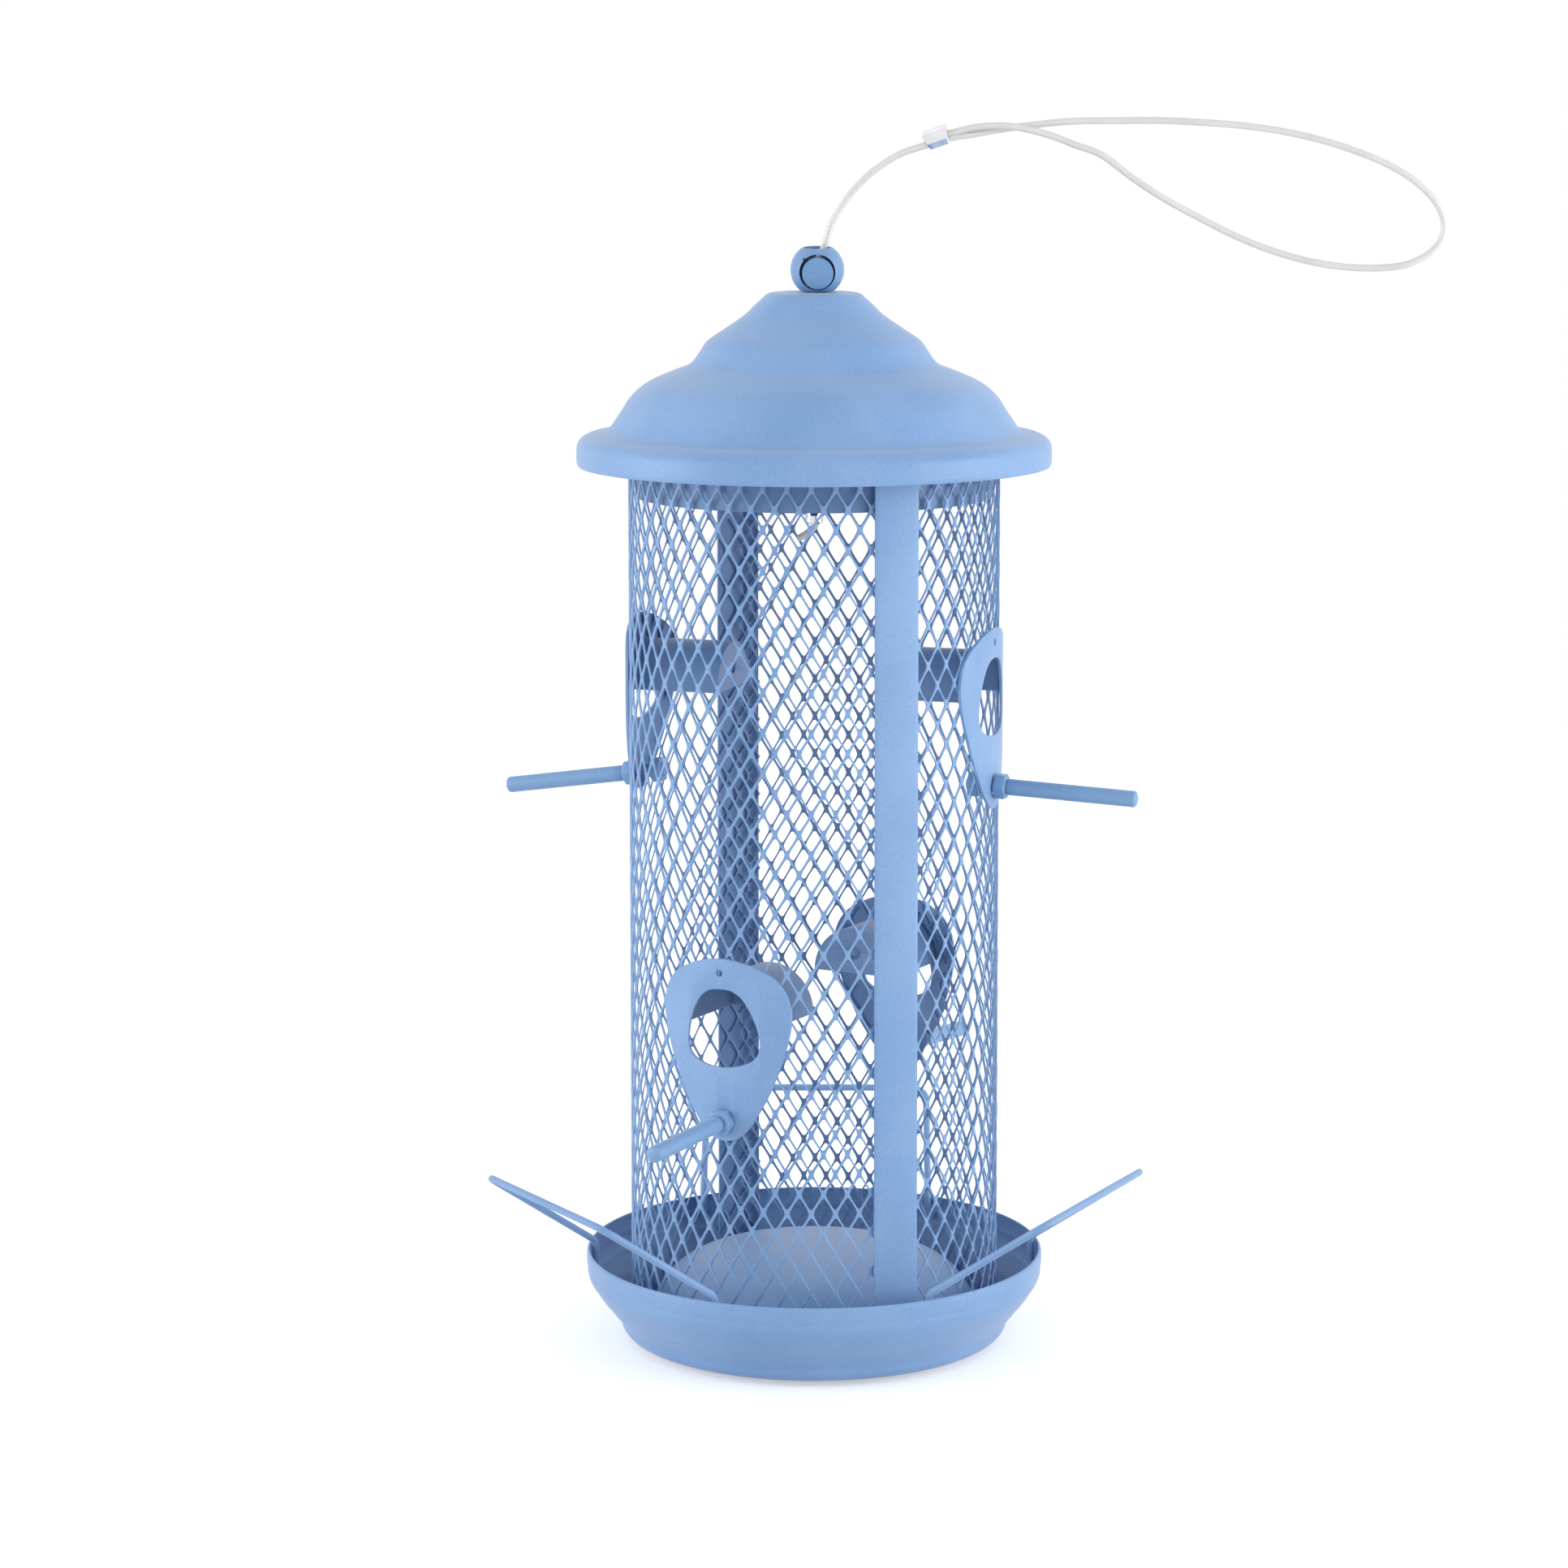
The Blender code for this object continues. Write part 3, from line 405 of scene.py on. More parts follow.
# %% The rope's route
FEEDER_HEIGHT = 0.3124
ROPE_RADIUS = 0.00098
ROPE_ROUTE = (
    (0.0000, 0.0, -0.0118), (0.0001, 0.0, -0.0064), (0.0012, 0.0, -0.0030), (0.0030, 0.0, 0.0006),
    (0.0048, 0.0, 0.0064), (0.0077, 0.0, 0.0115), (0.0110, 0.0, 0.0159), (0.0148, 0.0, 0.0198),
    (0.0193, 0.0, 0.0233), (0.0242, 0.0, 0.0262), (0.0291, 0.0, 0.0279), (0.0338, 0.0, 0.0293),
    (0.0382, 0.0002, 0.0306), (0.0456, 0.0008, 0.0318), (0.0532, 0.0013, 0.0331), (0.0607, 0.0016, 0.0341),
    (0.0720, 0.0014, 0.0352), (0.0860, 0.001, 0.0354), (0.0980, 0.0005, 0.0354), (0.1105, 0.0, 0.0348),
    (0.1210, 0.0, 0.0339), (0.1334, 0.0, 0.0320), (0.1458, 0.0, 0.0289), (0.1581, 0.0, 0.0244),
    (0.1666, 0.0, 0.0198), (0.1723, 0.0, 0.0150), (0.1753, 0.0, 0.0110), (0.1767, 0.0, 0.0068),
    (0.1761, 0.0, 0.0024), (0.1733, 0.0, -0.0012), (0.1694, 0.0, -0.0036), (0.1645, 0.0, -0.0052),
    (0.1570, 0.0, -0.0058), (0.1482, 0.0, -0.0054), (0.1382, 0.0, -0.0037), (0.1282, 0.0, -0.0008),
    (0.1182, 0.0, 0.0032), (0.1082, 0.0, 0.0082), (0.0982, -0.0005, 0.0136), (0.0895, -0.0009, 0.0192),
    (0.0805, -0.0013, 0.0258), (0.0729, -0.0016, 0.0287), (0.0667, -0.0017, 0.0311),
    (0.0606, -0.0017, 0.0328), (0.0544, -0.0015, 0.0339), (0.0482, -0.0011, 0.0339),
    (0.0432, -0.0005, 0.0332), (0.0385, 0.0, 0.0320), (0.0343, 0.0, 0.0312), (0.0306, 0.0, 0.0299),
)
ROPE_STEP = 0.0003
STRANDS = 8
LAY_LENGTH = 0.0085


def even_path(points, step):
    """Evenly spaced points on a smooth curve through a route."""
    fine = np.array(smooth_line(points, 24))
    along = np.concatenate([[0], np.cumsum(np.linalg.norm(np.diff(fine, axis=0), axis=1))])
    count = max(2, round(along[-1] / step) + 1)
    wanted = np.linspace(0, along[-1], count)
    path = [Vector([float(np.interp(w, along, fine[:, axis])) for axis in range(3)]) for w in wanted]
    return path, along[-1]


rope_path, rope_length = even_path([(x, y, FEEDER_HEIGHT + z) for x, y, z in ROPE_ROUTE], ROPE_STEP)
print("free rope:", round(float(rope_length), 4), "m in", len(rope_path), "rings")


# %% Lobed strands that turn as they travel
def rope_section(radius, points=32):
    """A ring of shallow lobes, one for each strand."""
    section = []
    for k in range(points):
        turn = 2 * math.pi * k / points
        reach = radius * (0.92 + 0.08 * abs(math.cos(turn * STRANDS / 2)))
        section.append((reach * math.cos(turn), reach * math.sin(turn)))
    return section


def rope(name, path, radius=ROPE_RADIUS):
    """A laid wire rope along a path of even steps."""
    step = (Vector(path[1]) - Vector(path[0])).length
    twist = [2 * math.pi * k * step / LAY_LENGTH for k in range(len(path))]
    return lofted(name, section_rings(path, rope_section(radius), twist), smooth_angle=50)


print("ridges", round(LAY_LENGTH / STRANDS / MM, 2), "mm apart")

# %% [markdown]
# ### Galvanised steel and aluminium
# Fine wires catch the light one by one, and dirt and oil sit between them. A rope drawn as pure metal turns
# nearly black against white, so this steel is mostly a light grey with a little metal in it, and a noise
# makes some stretches duller. The sleeves are polished aluminium. The loop's sleeve has a facet underneath
# with a duller, bluish metal of its own, which is a painted reflection of the blue lid below it.


# %% Metals for the rope, the sleeves and the spring
def bare_metal(name, dark, light, roughness, metallic, scale, bump=0.00001):
    """A bare metal whose colour and surface change a little from place to place."""
    metal = bpy.data.materials.new(name)
    metal.use_nodes = True
    nodes, links = metal.node_tree.nodes, metal.node_tree.links
    shader = nodes["Principled BSDF"]
    tuned(shader, Roughness=roughness, Metallic=metallic)
    place = nodes.new("ShaderNodeTexCoord")
    noise = tuned(nodes.new("ShaderNodeTexNoise"), Scale=scale, Detail=4.0)
    tint = nodes.new("ShaderNodeValToRGB")
    tint.color_ramp.elements[0].position, tint.color_ramp.elements[1].position = 0.35, 0.65
    tint.color_ramp.elements[0].color = (*dark, 1)
    tint.color_ramp.elements[1].color = (*light, 1)
    lift = tuned(nodes.new("ShaderNodeBump"), Strength=1.0, Distance=bump)
    links.new(place.outputs["Object"], noise.inputs["Vector"])
    links.new(noise.outputs["Fac"], tint.inputs["Fac"])
    links.new(tint.outputs["Color"], shader.inputs["Base Color"])
    links.new(noise.outputs["Fac"], lift.inputs["Height"])
    links.new(lift.outputs["Normal"], shader.inputs["Normal"])
    return metal


POLISHED, BRUSHED = 0.0000002, 0.000001
rope_steel = bare_metal("rope_steel", (0.66, 0.65, 0.625), (0.72, 0.71, 0.685), 0.38, 0.2, 90, BRUSHED)
sleeve_metal = bare_metal("sleeve_aluminium", (0.76, 0.76, 0.80), (0.84, 0.84, 0.87), 0.09, 1.0, 120,
                          POLISHED)
# The loop sleeve's lower facet: a duller, bluish metal that is a painted reflection of the lid.
facet_reflection_metal = bare_metal("painted_reflection_aluminium", (0.44, 0.50, 0.67), (0.52, 0.58, 0.74), 0.32, 1.0, 120,
                           BRUSHED)
spring_metal = bare_metal("spring_steel", (0.55, 0.55, 0.56), (0.70, 0.70, 0.71), 0.3, 1.0, 900)
free_rope = rope("hanging_rope", rope_path)
fitted(free_rope, rope_steel, "ball_lock", "hanging_cable", slot="cable_steel")
print("rope triangles:", faces_of(free_rope))

# %% [markdown]
# ## The expanded-metal tube
# Expanded metal starts as a sheet with rows of slits. Pulling it sideways opens each slit to a diamond and
# leaves flat knots where four strands meet. A wireframe modifier gives round sticks of one width, which look
# like chicken wire, so here each diamond is a tile: a small plate with a hole, whose outer edge runs along
# the middle of the strands. Tiles share those edges, so the net is one closed skin, and the hole's own
# outline gives the strands their width, the knots their X shape and every edge its small round.

# %% One diamond and where it sits
STRAP_ANGLE = 25.2
NET_OUTER = 52.4 * MM
NET_THICK = 0.4 * MM
HALF_PITCH = 3.665
HALF_TALL = 5.57 * MM
NET_FOOT = 2.6 * MM
NET_TOP = 265.6 * MM
EDGE_ROUND = 0.11 * MM
STRAND_TILT = 0.12 * MM
TUCK, TUCK_FROM, TUCK_OVER = 0.8 * MM, 6, 3
GRID = 10
RISING_SHARE = 0.96
HOLE_QUARTER = ((0.0, 4.44), (0.48, 4.18), (1.585, 2.51), (2.42, 1.1), (2.8, 0.0))
EDGE_SHARES = (0.0, 0.1, 0.5, 0.9)
ROW_LEAN, ROW_RISE = 0.866, 0.5


def hole_ring():
    """The diamond hole's outline in metres, clockwise from its top."""
    quarter = [(x * MM, z * MM) for x, z in HOLE_QUARTER]
    ring = quarter[:-1] + [(x, -z) for x, z in quarter[:0:-1]]
    ring += [(-x, -z) for x, z in quarter[:-1]] + [(-x, z) for x, z in quarter[:0:-1]]
    slim = [(RISING_SHARE - 1) * (ROW_LEAN * x - ROW_RISE * z) for x, z in ring]
    return [(x + ROW_LEAN * d, z - ROW_RISE * d) for (x, z), d in zip(ring, slim)]


def tile_ring():
    """The tile's outline in half pitches, clockwise from its top, in tenths so that neighbours match."""
    corners = [(0, GRID), (GRID, 0), (0, -GRID), (-GRID, 0)]
    ring = []
    for (x1, z1), (x2, z2) in zip(corners, corners[1:] + corners[:1]):
        ring += [(round(x1 + (x2 - x1) * t), round(z1 + (z2 - z1) * t)) for t in EDGE_SHARES]
    return ring


print("points round a hole:", len(hole_ring()), "and round a tile:", len(tile_ring()))


# %% A half tube of tiles
def net_half(name, start, columns, knot_height, tuck=0.0):
    """Tiles in so many half columns from a start angle; the last ones can tuck under the other half."""
    rows_down = int((knot_height - NET_FOOT) / HALF_TALL)
    rows_up = int((NET_TOP - knot_height) / HALF_TALL)
    outline, hole = tile_ring(), hole_ring()
    side, swing = hole[len(HOLE_QUARTER) - 1][0], math.degrees(1 / NET_OUTER)
    verts, faces, shared, used = [], [], {}, {}

    def at(angle, height, radius):
        """Adds a point of the net and gives its number."""
        under = min(1.0, max(0.0, (angle - start) / HALF_PITCH - columns + TUCK_FROM) / TUCK_OVER)
        verts.append(tuple(around(angle, radius - tuck * under, height)))
        return len(verts) - 1

    def edge_point(column, row):
        """The outer and inner point that neighbouring tiles share at a place of the grid."""
        if (column, row) not in shared:
            angle = start + HALF_PITCH * column / GRID
            height = knot_height + HALF_TALL * row / GRID
            shared[column, row] = (at(angle, height, NET_OUTER), at(angle, height, NET_OUTER - NET_THICK))
        return shared[column, row]

    for i in range(1, columns):
        for j in range(1 - rows_down, rows_up):
            if (i + j) % 2 == 0:
                continue
            angle, height = start + HALF_PITCH * i, knot_height + HALF_TALL * j
            edge = [edge_point(GRID * i + u, GRID * j + v) for u, v in outline]
            rings = [[], [], []]
            for (x, z), (u, v) in zip(hole, outline):
                to_edge = Vector((math.radians(HALF_PITCH * u / GRID) * NET_OUTER - x,
                                  HALF_TALL * v / GRID - z))
                wide = to_edge.normalized() * EDGE_ROUND
                lean = STRAND_TILT * x / side
                rings[0].append(at(angle + swing * (x + wide.x), height + z + wide.y, NET_OUTER + lean))
                rings[1].append(at(angle + swing * x, height + z, NET_OUTER + lean - EDGE_ROUND))
                rings[2].append(at(angle + swing * x, height + z, NET_OUTER + lean - NET_THICK))
            loops = [[e[0] for e in edge], *rings, [e[1] for e in edge]]
            for one, two in zip(loops, loops[1:]):
                for k in range(len(edge)):
                    n = (k + 1) % len(edge)
                    faces.append((one[k], two[k], two[n], one[n]))
            for a, b in zip(edge, edge[1:] + edge[:1]):
                if (b, a) in used:
                    del used[b, a]
                else:
                    used[a, b] = True
    for a, b in used:
        faces.append((a[0], b[0], b[1], a[1]))
    mesh = bpy.data.meshes.new(name)
    mesh.from_pydata(verts, [], faces)
    net = bpy.data.objects.new(name, mesh)
    bpy.context.scene.collection.objects.link(net)
    soften(mesh, 40)
    return net


LEFT_COLUMNS, LEFT_STOP, LEFT_KNOT = 51, 24.805, 171.12 * MM
RIGHT_COLUMNS, RIGHT_START, RIGHT_KNOT = 49, 25.8, 160.6 * MM
net_left = net_half("net_left", LEFT_STOP - LEFT_COLUMNS * HALF_PITCH, LEFT_COLUMNS, LEFT_KNOT)
net_right = net_half("net_right", RIGHT_START, RIGHT_COLUMNS, RIGHT_KNOT, TUCK)
print("net triangles:", faces_of(net_left), faces_of(net_right))

# %% [markdown]
# ### Windows behind the ports
# Behind each port's plate the net is cut away, so a bird can reach the seed and the hood can lead inwards. A
# boolean with the manifold solver is quick even on a net this dense, and the plate hides the cut edge. A
# port is written as its name, its angle, the height of its plate's tip and its hood's lift in millimetres,
# and the droop of its rod in degrees. The front plate also hangs a little askew, and two rods sit off their
# height.

# %% The ports' places and their windows
PORTS = (
    ("lower_front", -28.7, 68.0, 11.1, 0.0),
    ("upper_right", 71.1, 156.0, 10.8, 2.3),
    ("lower_back", 151.3, 68.0, 12.0, 4.0),
    ("upper_left", -108.9, 156.0, 10.05, 8.5),
)
PLATE_TURN = {"lower_front": 2.4}
ROD_SWAY = {"lower_front": 2.4}
ROD_LIFT = {"upper_right": 0.9 * MM, "upper_left": -0.7 * MM}
PIVOT_HEIGHT = 34.0 * MM
PLATE_HEIGHT = 51.0 * MM
HOLE_FOOT = 20.6 * MM
STUD_HEIGHT = 5.5 * MM
HOOD_RADIUS = 13.2 * MM
HOOD_END = 24.4 * MM
WINDOW_ROOM = 0.6 * MM
WINDOW_DEPTHS = (-64 * MM, -40 * MM)
HANG_HOLE_HEIGHT = PLATE_HEIGHT - 4.0 * MM


def half_round(radius, foot, count=32):
    """An arch's outline from its right foot over the top to its left foot."""
    return [(radius * math.cos(math.pi * k / count), foot + radius * math.sin(math.pi * k / count))
            for k in range(count + 1)]


for port, angle, tip, hood_lift, droop in PORTS:
    foot = tip * MM + HOLE_FOOT
    half, slot = HOOD_RADIUS + WINDOW_ROOM, 2.5 * MM
    stud = tip * MM + STUD_HEIGHT
    window = half_round(half, foot + hood_lift * MM)
    window += [(-half, foot), (-slot, stud - slot), (slot, stud - slot), (half, foot)]
    peep = [(x, tip * MM + HANG_HOLE_HEIGHT + z) for x, z in circle_section(1.7 * MM, 24)]
    for loop in (window, peep):
        net = net_right if STRAP_ANGLE < angle else net_left
        carved(net, moved(prism("window", loop, *WINDOW_DEPTHS), swung(angle)), smooth_angle=40)
print("cut nets:", faces_of(net_left), faces_of(net_right))

# %% Dress the net
right_staves = ["mesh_" + side for side in ("front_right", "right", "back_right", "back")]
left_staves = ["mesh_" + side for side in ("back_left", "left", "front_left", "front")]
fitted(net_right, coat_outside, "feeder", *right_staves)
fitted(net_left, coat_outside, "feeder", *left_staves)
# The net's inner faces get painted shade.
add_painted_shade(net_right)
add_painted_shade(net_left)
print("net replaces", len(right_staves + left_staves), "staves")

# %% [markdown]
# ## The straps
# Two flat strips cover the seams of the tube, at the front right and at the back left. A strip bent to the
# tube is a thin banana-shaped section carried upwards; its long edges are rounded by the paint.


# %% Two curved strips
def curved_section(inner, thick, width, round_by, steps=14):
    """The (angle, radius) section of a strip bent to the tube, with rounded long edges."""
    half = math.degrees(width / 2 / inner)
    small = math.degrees(round_by / inner)
    outer = inner + thick
    angles = np.linspace(-half + small, half - small, steps)
    section = [(-half, inner + thick / 2), (-half + small * 0.3, outer - round_by * 0.3)]
    section += [(a, outer) for a in angles]
    section += [(half - small * 0.3, outer - round_by * 0.3), (half, inner + thick / 2)]
    section += [(half - small * 0.3, inner + round_by * 0.3)]
    section += [(a, inner) for a in angles[::-1]]
    section += [(-half + small * 0.3, inner + round_by * 0.3)]
    return section


STRAP_INNER, STRAP_THICK, STRAP_WIDTH, STRAP_EDGE = 52.7 * MM, 0.8 * MM, 13.1 * MM, 0.3 * MM
strap_low, strap_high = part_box("strap_front")
for name, angle in (("strap_front", STRAP_ANGLE), ("strap_back", STRAP_ANGLE + 180)):
    section = curved_section(STRAP_INNER, STRAP_THICK, STRAP_WIDTH, STRAP_EDGE)
    heights = np.linspace(strap_low.z, strap_high.z, 24)
    rings = [[around(angle + a, r, z) for a, r in section] for z in heights]
    strap = lofted(name + "_strip", rings)
    fitted(strap, coat_outside, "feeder", name)
    # The strap's inner faces get painted shade.
    add_painted_shade(strap)
print("straps from", round(strap_low.z / MM, 1), "to", round(strap_high.z / MM, 1), "mm")

# %% [markdown]
# ## Tray, domed floor and lid
# These three are spun on a lathe from flat discs, so each is one line turned about the tube's axis. The
# spinner's tool leaves shallow rings on the tray's wall, which a slow wave on the line brings back.

# %% The tray's line
SHEET = 0.7 * MM
TRAY_LINE = ((65.0, 25.5), (65.3, 24.9), (65.33, 22.5), (65.05, 19.3), (64.3, 17.1), (63.1, 15.2),
             (61.1, 12.4), (58.66, 9.41), (56.8, 7.1), (55.9, 5.9), (55.55, 4.9), (55.25, 3.9), (54.7, 2.95),
             (53.7, 2.0), (51.9, 1.3), (49.5, 0.85), (47.0, 0.62), (44.0, 0.53), (20.0, 0.53), (0.0, 0.53))
RIPPLES = ((20.6, 0.16), (15.7, 0.20), (10.7, 0.20), (7.4, 0.10))
RIPPLE_SPREAD = 0.8
tray_line = [np.array(p) * MM for p in smooth_line(TRAY_LINE, 8)]
for point in tray_line:
    point[0] -= sum(deep * MM * math.exp(-((point[1] / MM - high) / RIPPLE_SPREAD)**2)
                    for high, deep in RIPPLES)
tray_line[-1][0] = 0.0
tray = spun("tray_bowl", sheet_outline(tray_line, SHEET), steps=192)
fitted(tray, coat_outside, "feeder", "tray")
# The tray's inner faces get painted shade.
add_painted_shade(tray)
print("tray triangles:", faces_of(tray))

# %% The domed floor
DOME_LINE = ((0.0, 25.0), (14.0, 24.7), (26.0, 23.5), (34.0, 21.8), (40.0, 18.4), (44.0, 13.9), (46.8, 8.2),
             (48.0, 1.6))
dome_line = [np.array(p) * MM for p in smooth_line(DOME_LINE, 8)]
dome_line[0][0] = 0.0
dome = spun("domed_floor", sheet_outline(dome_line, SHEET), steps=160)
# The domed floor takes the paler coat, painted light under the lid.
fitted(dome, coat_painted_light_dome, "feeder", "seed_dome")
print("dome triangles:", faces_of(dome))

# %% The lid's line
LID_LINE = ((2.2, 299.9), (6.0, 299.9), (10.2, 299.88), (12.2, 299.72), (13.5, 299.2), (14.7, 298.1),
            (16.9, 296.1), (19.62, 293.46), (24.88, 289.8), (28.2, 287.6), (30.2, 286.1), (31.5, 284.3),
            (33.0, 282.0), (34.2, 280.4), (35.6, 279.35), (37.9, 278.45), (41.59, 277.0), (45.71, 275.17),
            (48.69, 273.34), (50.76, 271.5), (52.37, 269.67), (53.52, 267.84), (54.67, 266.0), (55.9, 264.2),
            (56.9, 262.7), (57.9, 261.5), (59.3, 260.65), (61.3, 260.25), (63.3, 259.95), (65.0, 259.3),
            (66.2, 258.3), (66.85, 257.0), (67.0, 255.3), (67.0, 252.6), (66.75, 251.5))
lid_line = [np.array(p) * MM for p in smooth_line(LID_LINE, 5)]
lid = spun("lid_cone", sheet_outline(lid_line, SHEET), steps=192)
fitted(lid, coat_outside, "lid", "lid")
print("lid triangles:", faces_of(lid))

# %% [markdown]
# ## The top ring and the hanger bridge
# A band inside the tube's upper end keeps it round, and a flat bar lies across it with its ends turned up.
# The rope is fixed to the bar, so the whole feeder hangs from it. The bar is one bent line with a thickness,
# made as a prism, because every section along its width is the same.

# %% The band and the bar
ring_low, ring_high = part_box("top_ring")
RING_OUTER = 50.6 * MM
ring_line = [(RING_OUTER - 0.5 * MM, ring_high.z), (RING_OUTER, ring_high.z - 0.8 * MM)]
ring_line += [(RING_OUTER, z) for z in np.linspace(ring_high.z - 2 * MM, ring_low.z + 1.2 * MM, 8)]
ring = spun("top_band", sheet_outline(ring_line, SHEET), steps=160)
# The band sits inside the tube and takes the painted-shade coat.
fitted(ring, coat_painted_shade_inside, "feeder", "top_ring")

bridge_low, bridge_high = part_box("hanger_bridge")
BAR_WIDTH, BAR_THICK = 12.0 * MM, 1.0 * MM
BAR_ROOM, BAR_HOLE = 0.4 * MM, 1.5 * MM
bar_reach = math.sqrt((RING_OUTER - SHEET)**2 - (BAR_WIDTH / 2)**2) - BAR_ROOM
BEND = 1.2 * MM
outer_side = [(-bar_reach, bridge_high.z)]
outer_side += [(-bar_reach + BEND * (1 - math.cos(t)), bridge_low.z + BEND * (1 - math.sin(t)))
               for t in np.linspace(0, math.pi / 2, 6)]
outer_side += [(-x, z) for x, z in outer_side[::-1]]
line = np.array(outer_side)
run = np.gradient(line, axis=0)
run /= np.linalg.norm(run, axis=1)[:, None]
inner_side = line + np.stack([-run[:, 1], run[:, 0]], axis=1) * BAR_THICK
loop = [tuple(p) for p in line] + [tuple(p) for p in inner_side[::-1]]
bar = moved(prism("hanger_bar", loop, -BAR_WIDTH / 2, BAR_WIDTH / 2), swung(STRAP_ANGLE))
drill_ends = (bridge_low.z - MM, bridge_low.z + 3 * MM)
carved(bar, lofted("drill", [[(x, y, z) for x, y in circle_section(BAR_HOLE, 24)] for z in drill_ends]))
rounded(bar, 0.15 * MM)
fitted(bar, coat_outside, "feeder", "hanger_bridge")
print("bar reach:", round(bar_reach / MM, 1), "mm")

# %% [markdown]
# ## The ports' plates
# Each plate is stamped from sheet, a broad drop with a seed hole, a small hanging hole and a hole for the
# perch's stud, and then bent to the tube. It could be drawn flat and bent with a modifier; here a curved
# blank is trimmed by the stamped outline, so the outline stays exact as the photo shows it face on.

# %% The stamped outlines
PLATE_WIDTH = 40.0 * MM
PLATE_SHARES = ((0.0, 1.0), (0.15, 0.997), (0.30, 0.985), (0.48, 0.966), (0.63, 0.938), (0.75, 0.911),
                (0.84, 0.878), (0.91, 0.84), (0.96, 0.795), (0.995, 0.735), (1.0, 0.69), (0.985, 0.63),
                (0.93, 0.535), (0.83, 0.42), (0.67, 0.27), (0.45, 0.125), (0.32, 0.06), (0.17, 0.015),
                (0.0, 0.0))
SEED_HOLE_SHARES = ((0.0, 1.0), (0.2, 0.993), (0.38, 0.965), (0.60, 0.88), (0.80, 0.72), (0.93, 0.54),
                    (1.0, 0.35), (0.96, 0.205), (0.84, 0.12), (0.62, 0.058), (0.35, 0.018), (0.0, 0.0))
SEED_HOLE_WIDTH, SEED_HOLE_HEIGHT = 22.6 * MM, 22.0 * MM
HANG_HOLE_RADIUS, STUD_HOLE_RADIUS = 1.0 * MM, 2.2 * MM
PLATE_THICK = 0.8 * MM
STAMP_DEPTHS = (-70 * MM, -30 * MM)


def stamped(shares, width, height, foot):
    """A closed (x, z) outline from the shares of its right half, top to foot."""
    right = [(x * width / 2, foot + z * height) for x, z in smooth_line(shares, 4)]
    return right + [(-x, z) for x, z in right[-2:0:-1]]


def round_loop(radius, across, up, count=28):
    """A round (x, z) outline."""
    return [(across + x, up + z) for x, z in circle_section(radius, count)]


plate_loop = stamped(PLATE_SHARES, PLATE_WIDTH, PLATE_HEIGHT, 0)
seed_loop = stamped(SEED_HOLE_SHARES, SEED_HOLE_WIDTH, SEED_HOLE_HEIGHT, HOLE_FOOT)
print("plate outline:", len(plate_loop), "points")


# %% Blank, trim and round
def turned(loop, turn):
    """An (x, z) outline turned in its own plane about the seed hole."""
    cos, sin = math.cos(math.radians(turn)), math.sin(math.radians(turn))
    return [(x * cos - (z - PIVOT_HEIGHT) * sin, PIVOT_HEIGHT + x * sin + (z - PIVOT_HEIGHT) * cos)
            for x, z in loop]


def curved_plate(name, turn=0):
    """A curved plate at the front with its tip at height zero, turned by so many degrees."""
    half = math.degrees(PLATE_WIDTH / 2 / STRAP_INNER) + 2
    angles = np.linspace(-half, half, 49)
    section = [(a, STRAP_INNER + PLATE_THICK) for a in angles] + [(a, STRAP_INNER) for a in angles[::-1]]
    blank = lofted(name, [[around(a, r, z) for a, r in section] for z in (-5 * MM, PLATE_HEIGHT + 5 * MM)])
    carved(blank, prism("stamp", turned(plate_loop, turn), *STAMP_DEPTHS), "INTERSECT")
    for loop in (seed_loop, round_loop(HANG_HOLE_RADIUS, 0, HANG_HOLE_HEIGHT),
                 round_loop(STUD_HOLE_RADIUS, 0, STUD_HEIGHT)):
        carved(blank, prism("punch", turned(loop, turn), *STAMP_DEPTHS))
    return rounded(blank, 0.18 * MM)


print("a plate spans", round(math.degrees(PLATE_WIDTH / STRAP_INNER), 1), "degrees of the tube")


# %% [markdown]
# ### The hoods
# Behind each plate a half-round tunnel leads the seed down to the hole and keeps the column from spilling. It
# is an arch carried inwards, joined to an end wall with one hole, and trimmed where it meets the plate.

# %% Hoods that lead the seed down to each hole
HOOD_SHEET, HOOD_STEPS, HOOD_START = 0.8 * MM, 40, 60 * MM
HOOD_HOLE_RADIUS, HOOD_HOLE_HEIGHT = 2.0 * MM, 6.0 * MM


def hood(name):
    """A half-round tunnel at the front, its foot at height zero, with a closed inner end and one hole."""
    inner = half_round(HOOD_RADIUS - HOOD_SHEET, 0, HOOD_STEPS)
    tunnel = prism(name, half_round(HOOD_RADIUS, 0, HOOD_STEPS) + inner[::-1], -HOOD_START, -HOOD_END)
    wall = half_round(HOOD_RADIUS - 0.02 * MM, 0, HOOD_STEPS)
    end = prism("end", wall, -HOOD_END - HOOD_SHEET, -HOOD_END)
    hole = round_loop(HOOD_HOLE_RADIUS, 0, HOOD_HOLE_HEIGHT)
    carved(end, prism("punch", hole, -HOOD_END - 3 * MM, -HOOD_END + 3 * MM))
    carved(tunnel, end, "UNION", solver="EXACT")
    back = lofted("back", [[around(a, STRAP_INNER - 0.3 * MM, z) for a in np.arange(0, 360, 2.5)]
                           for z in (-20 * MM, 30 * MM)])
    carved(tunnel, back, "INTERSECT", solver="EXACT")
    return rounded(tunnel, 0.15 * MM)


print("hoods:", round(2 * HOOD_RADIUS / MM, 1), "mm wide")


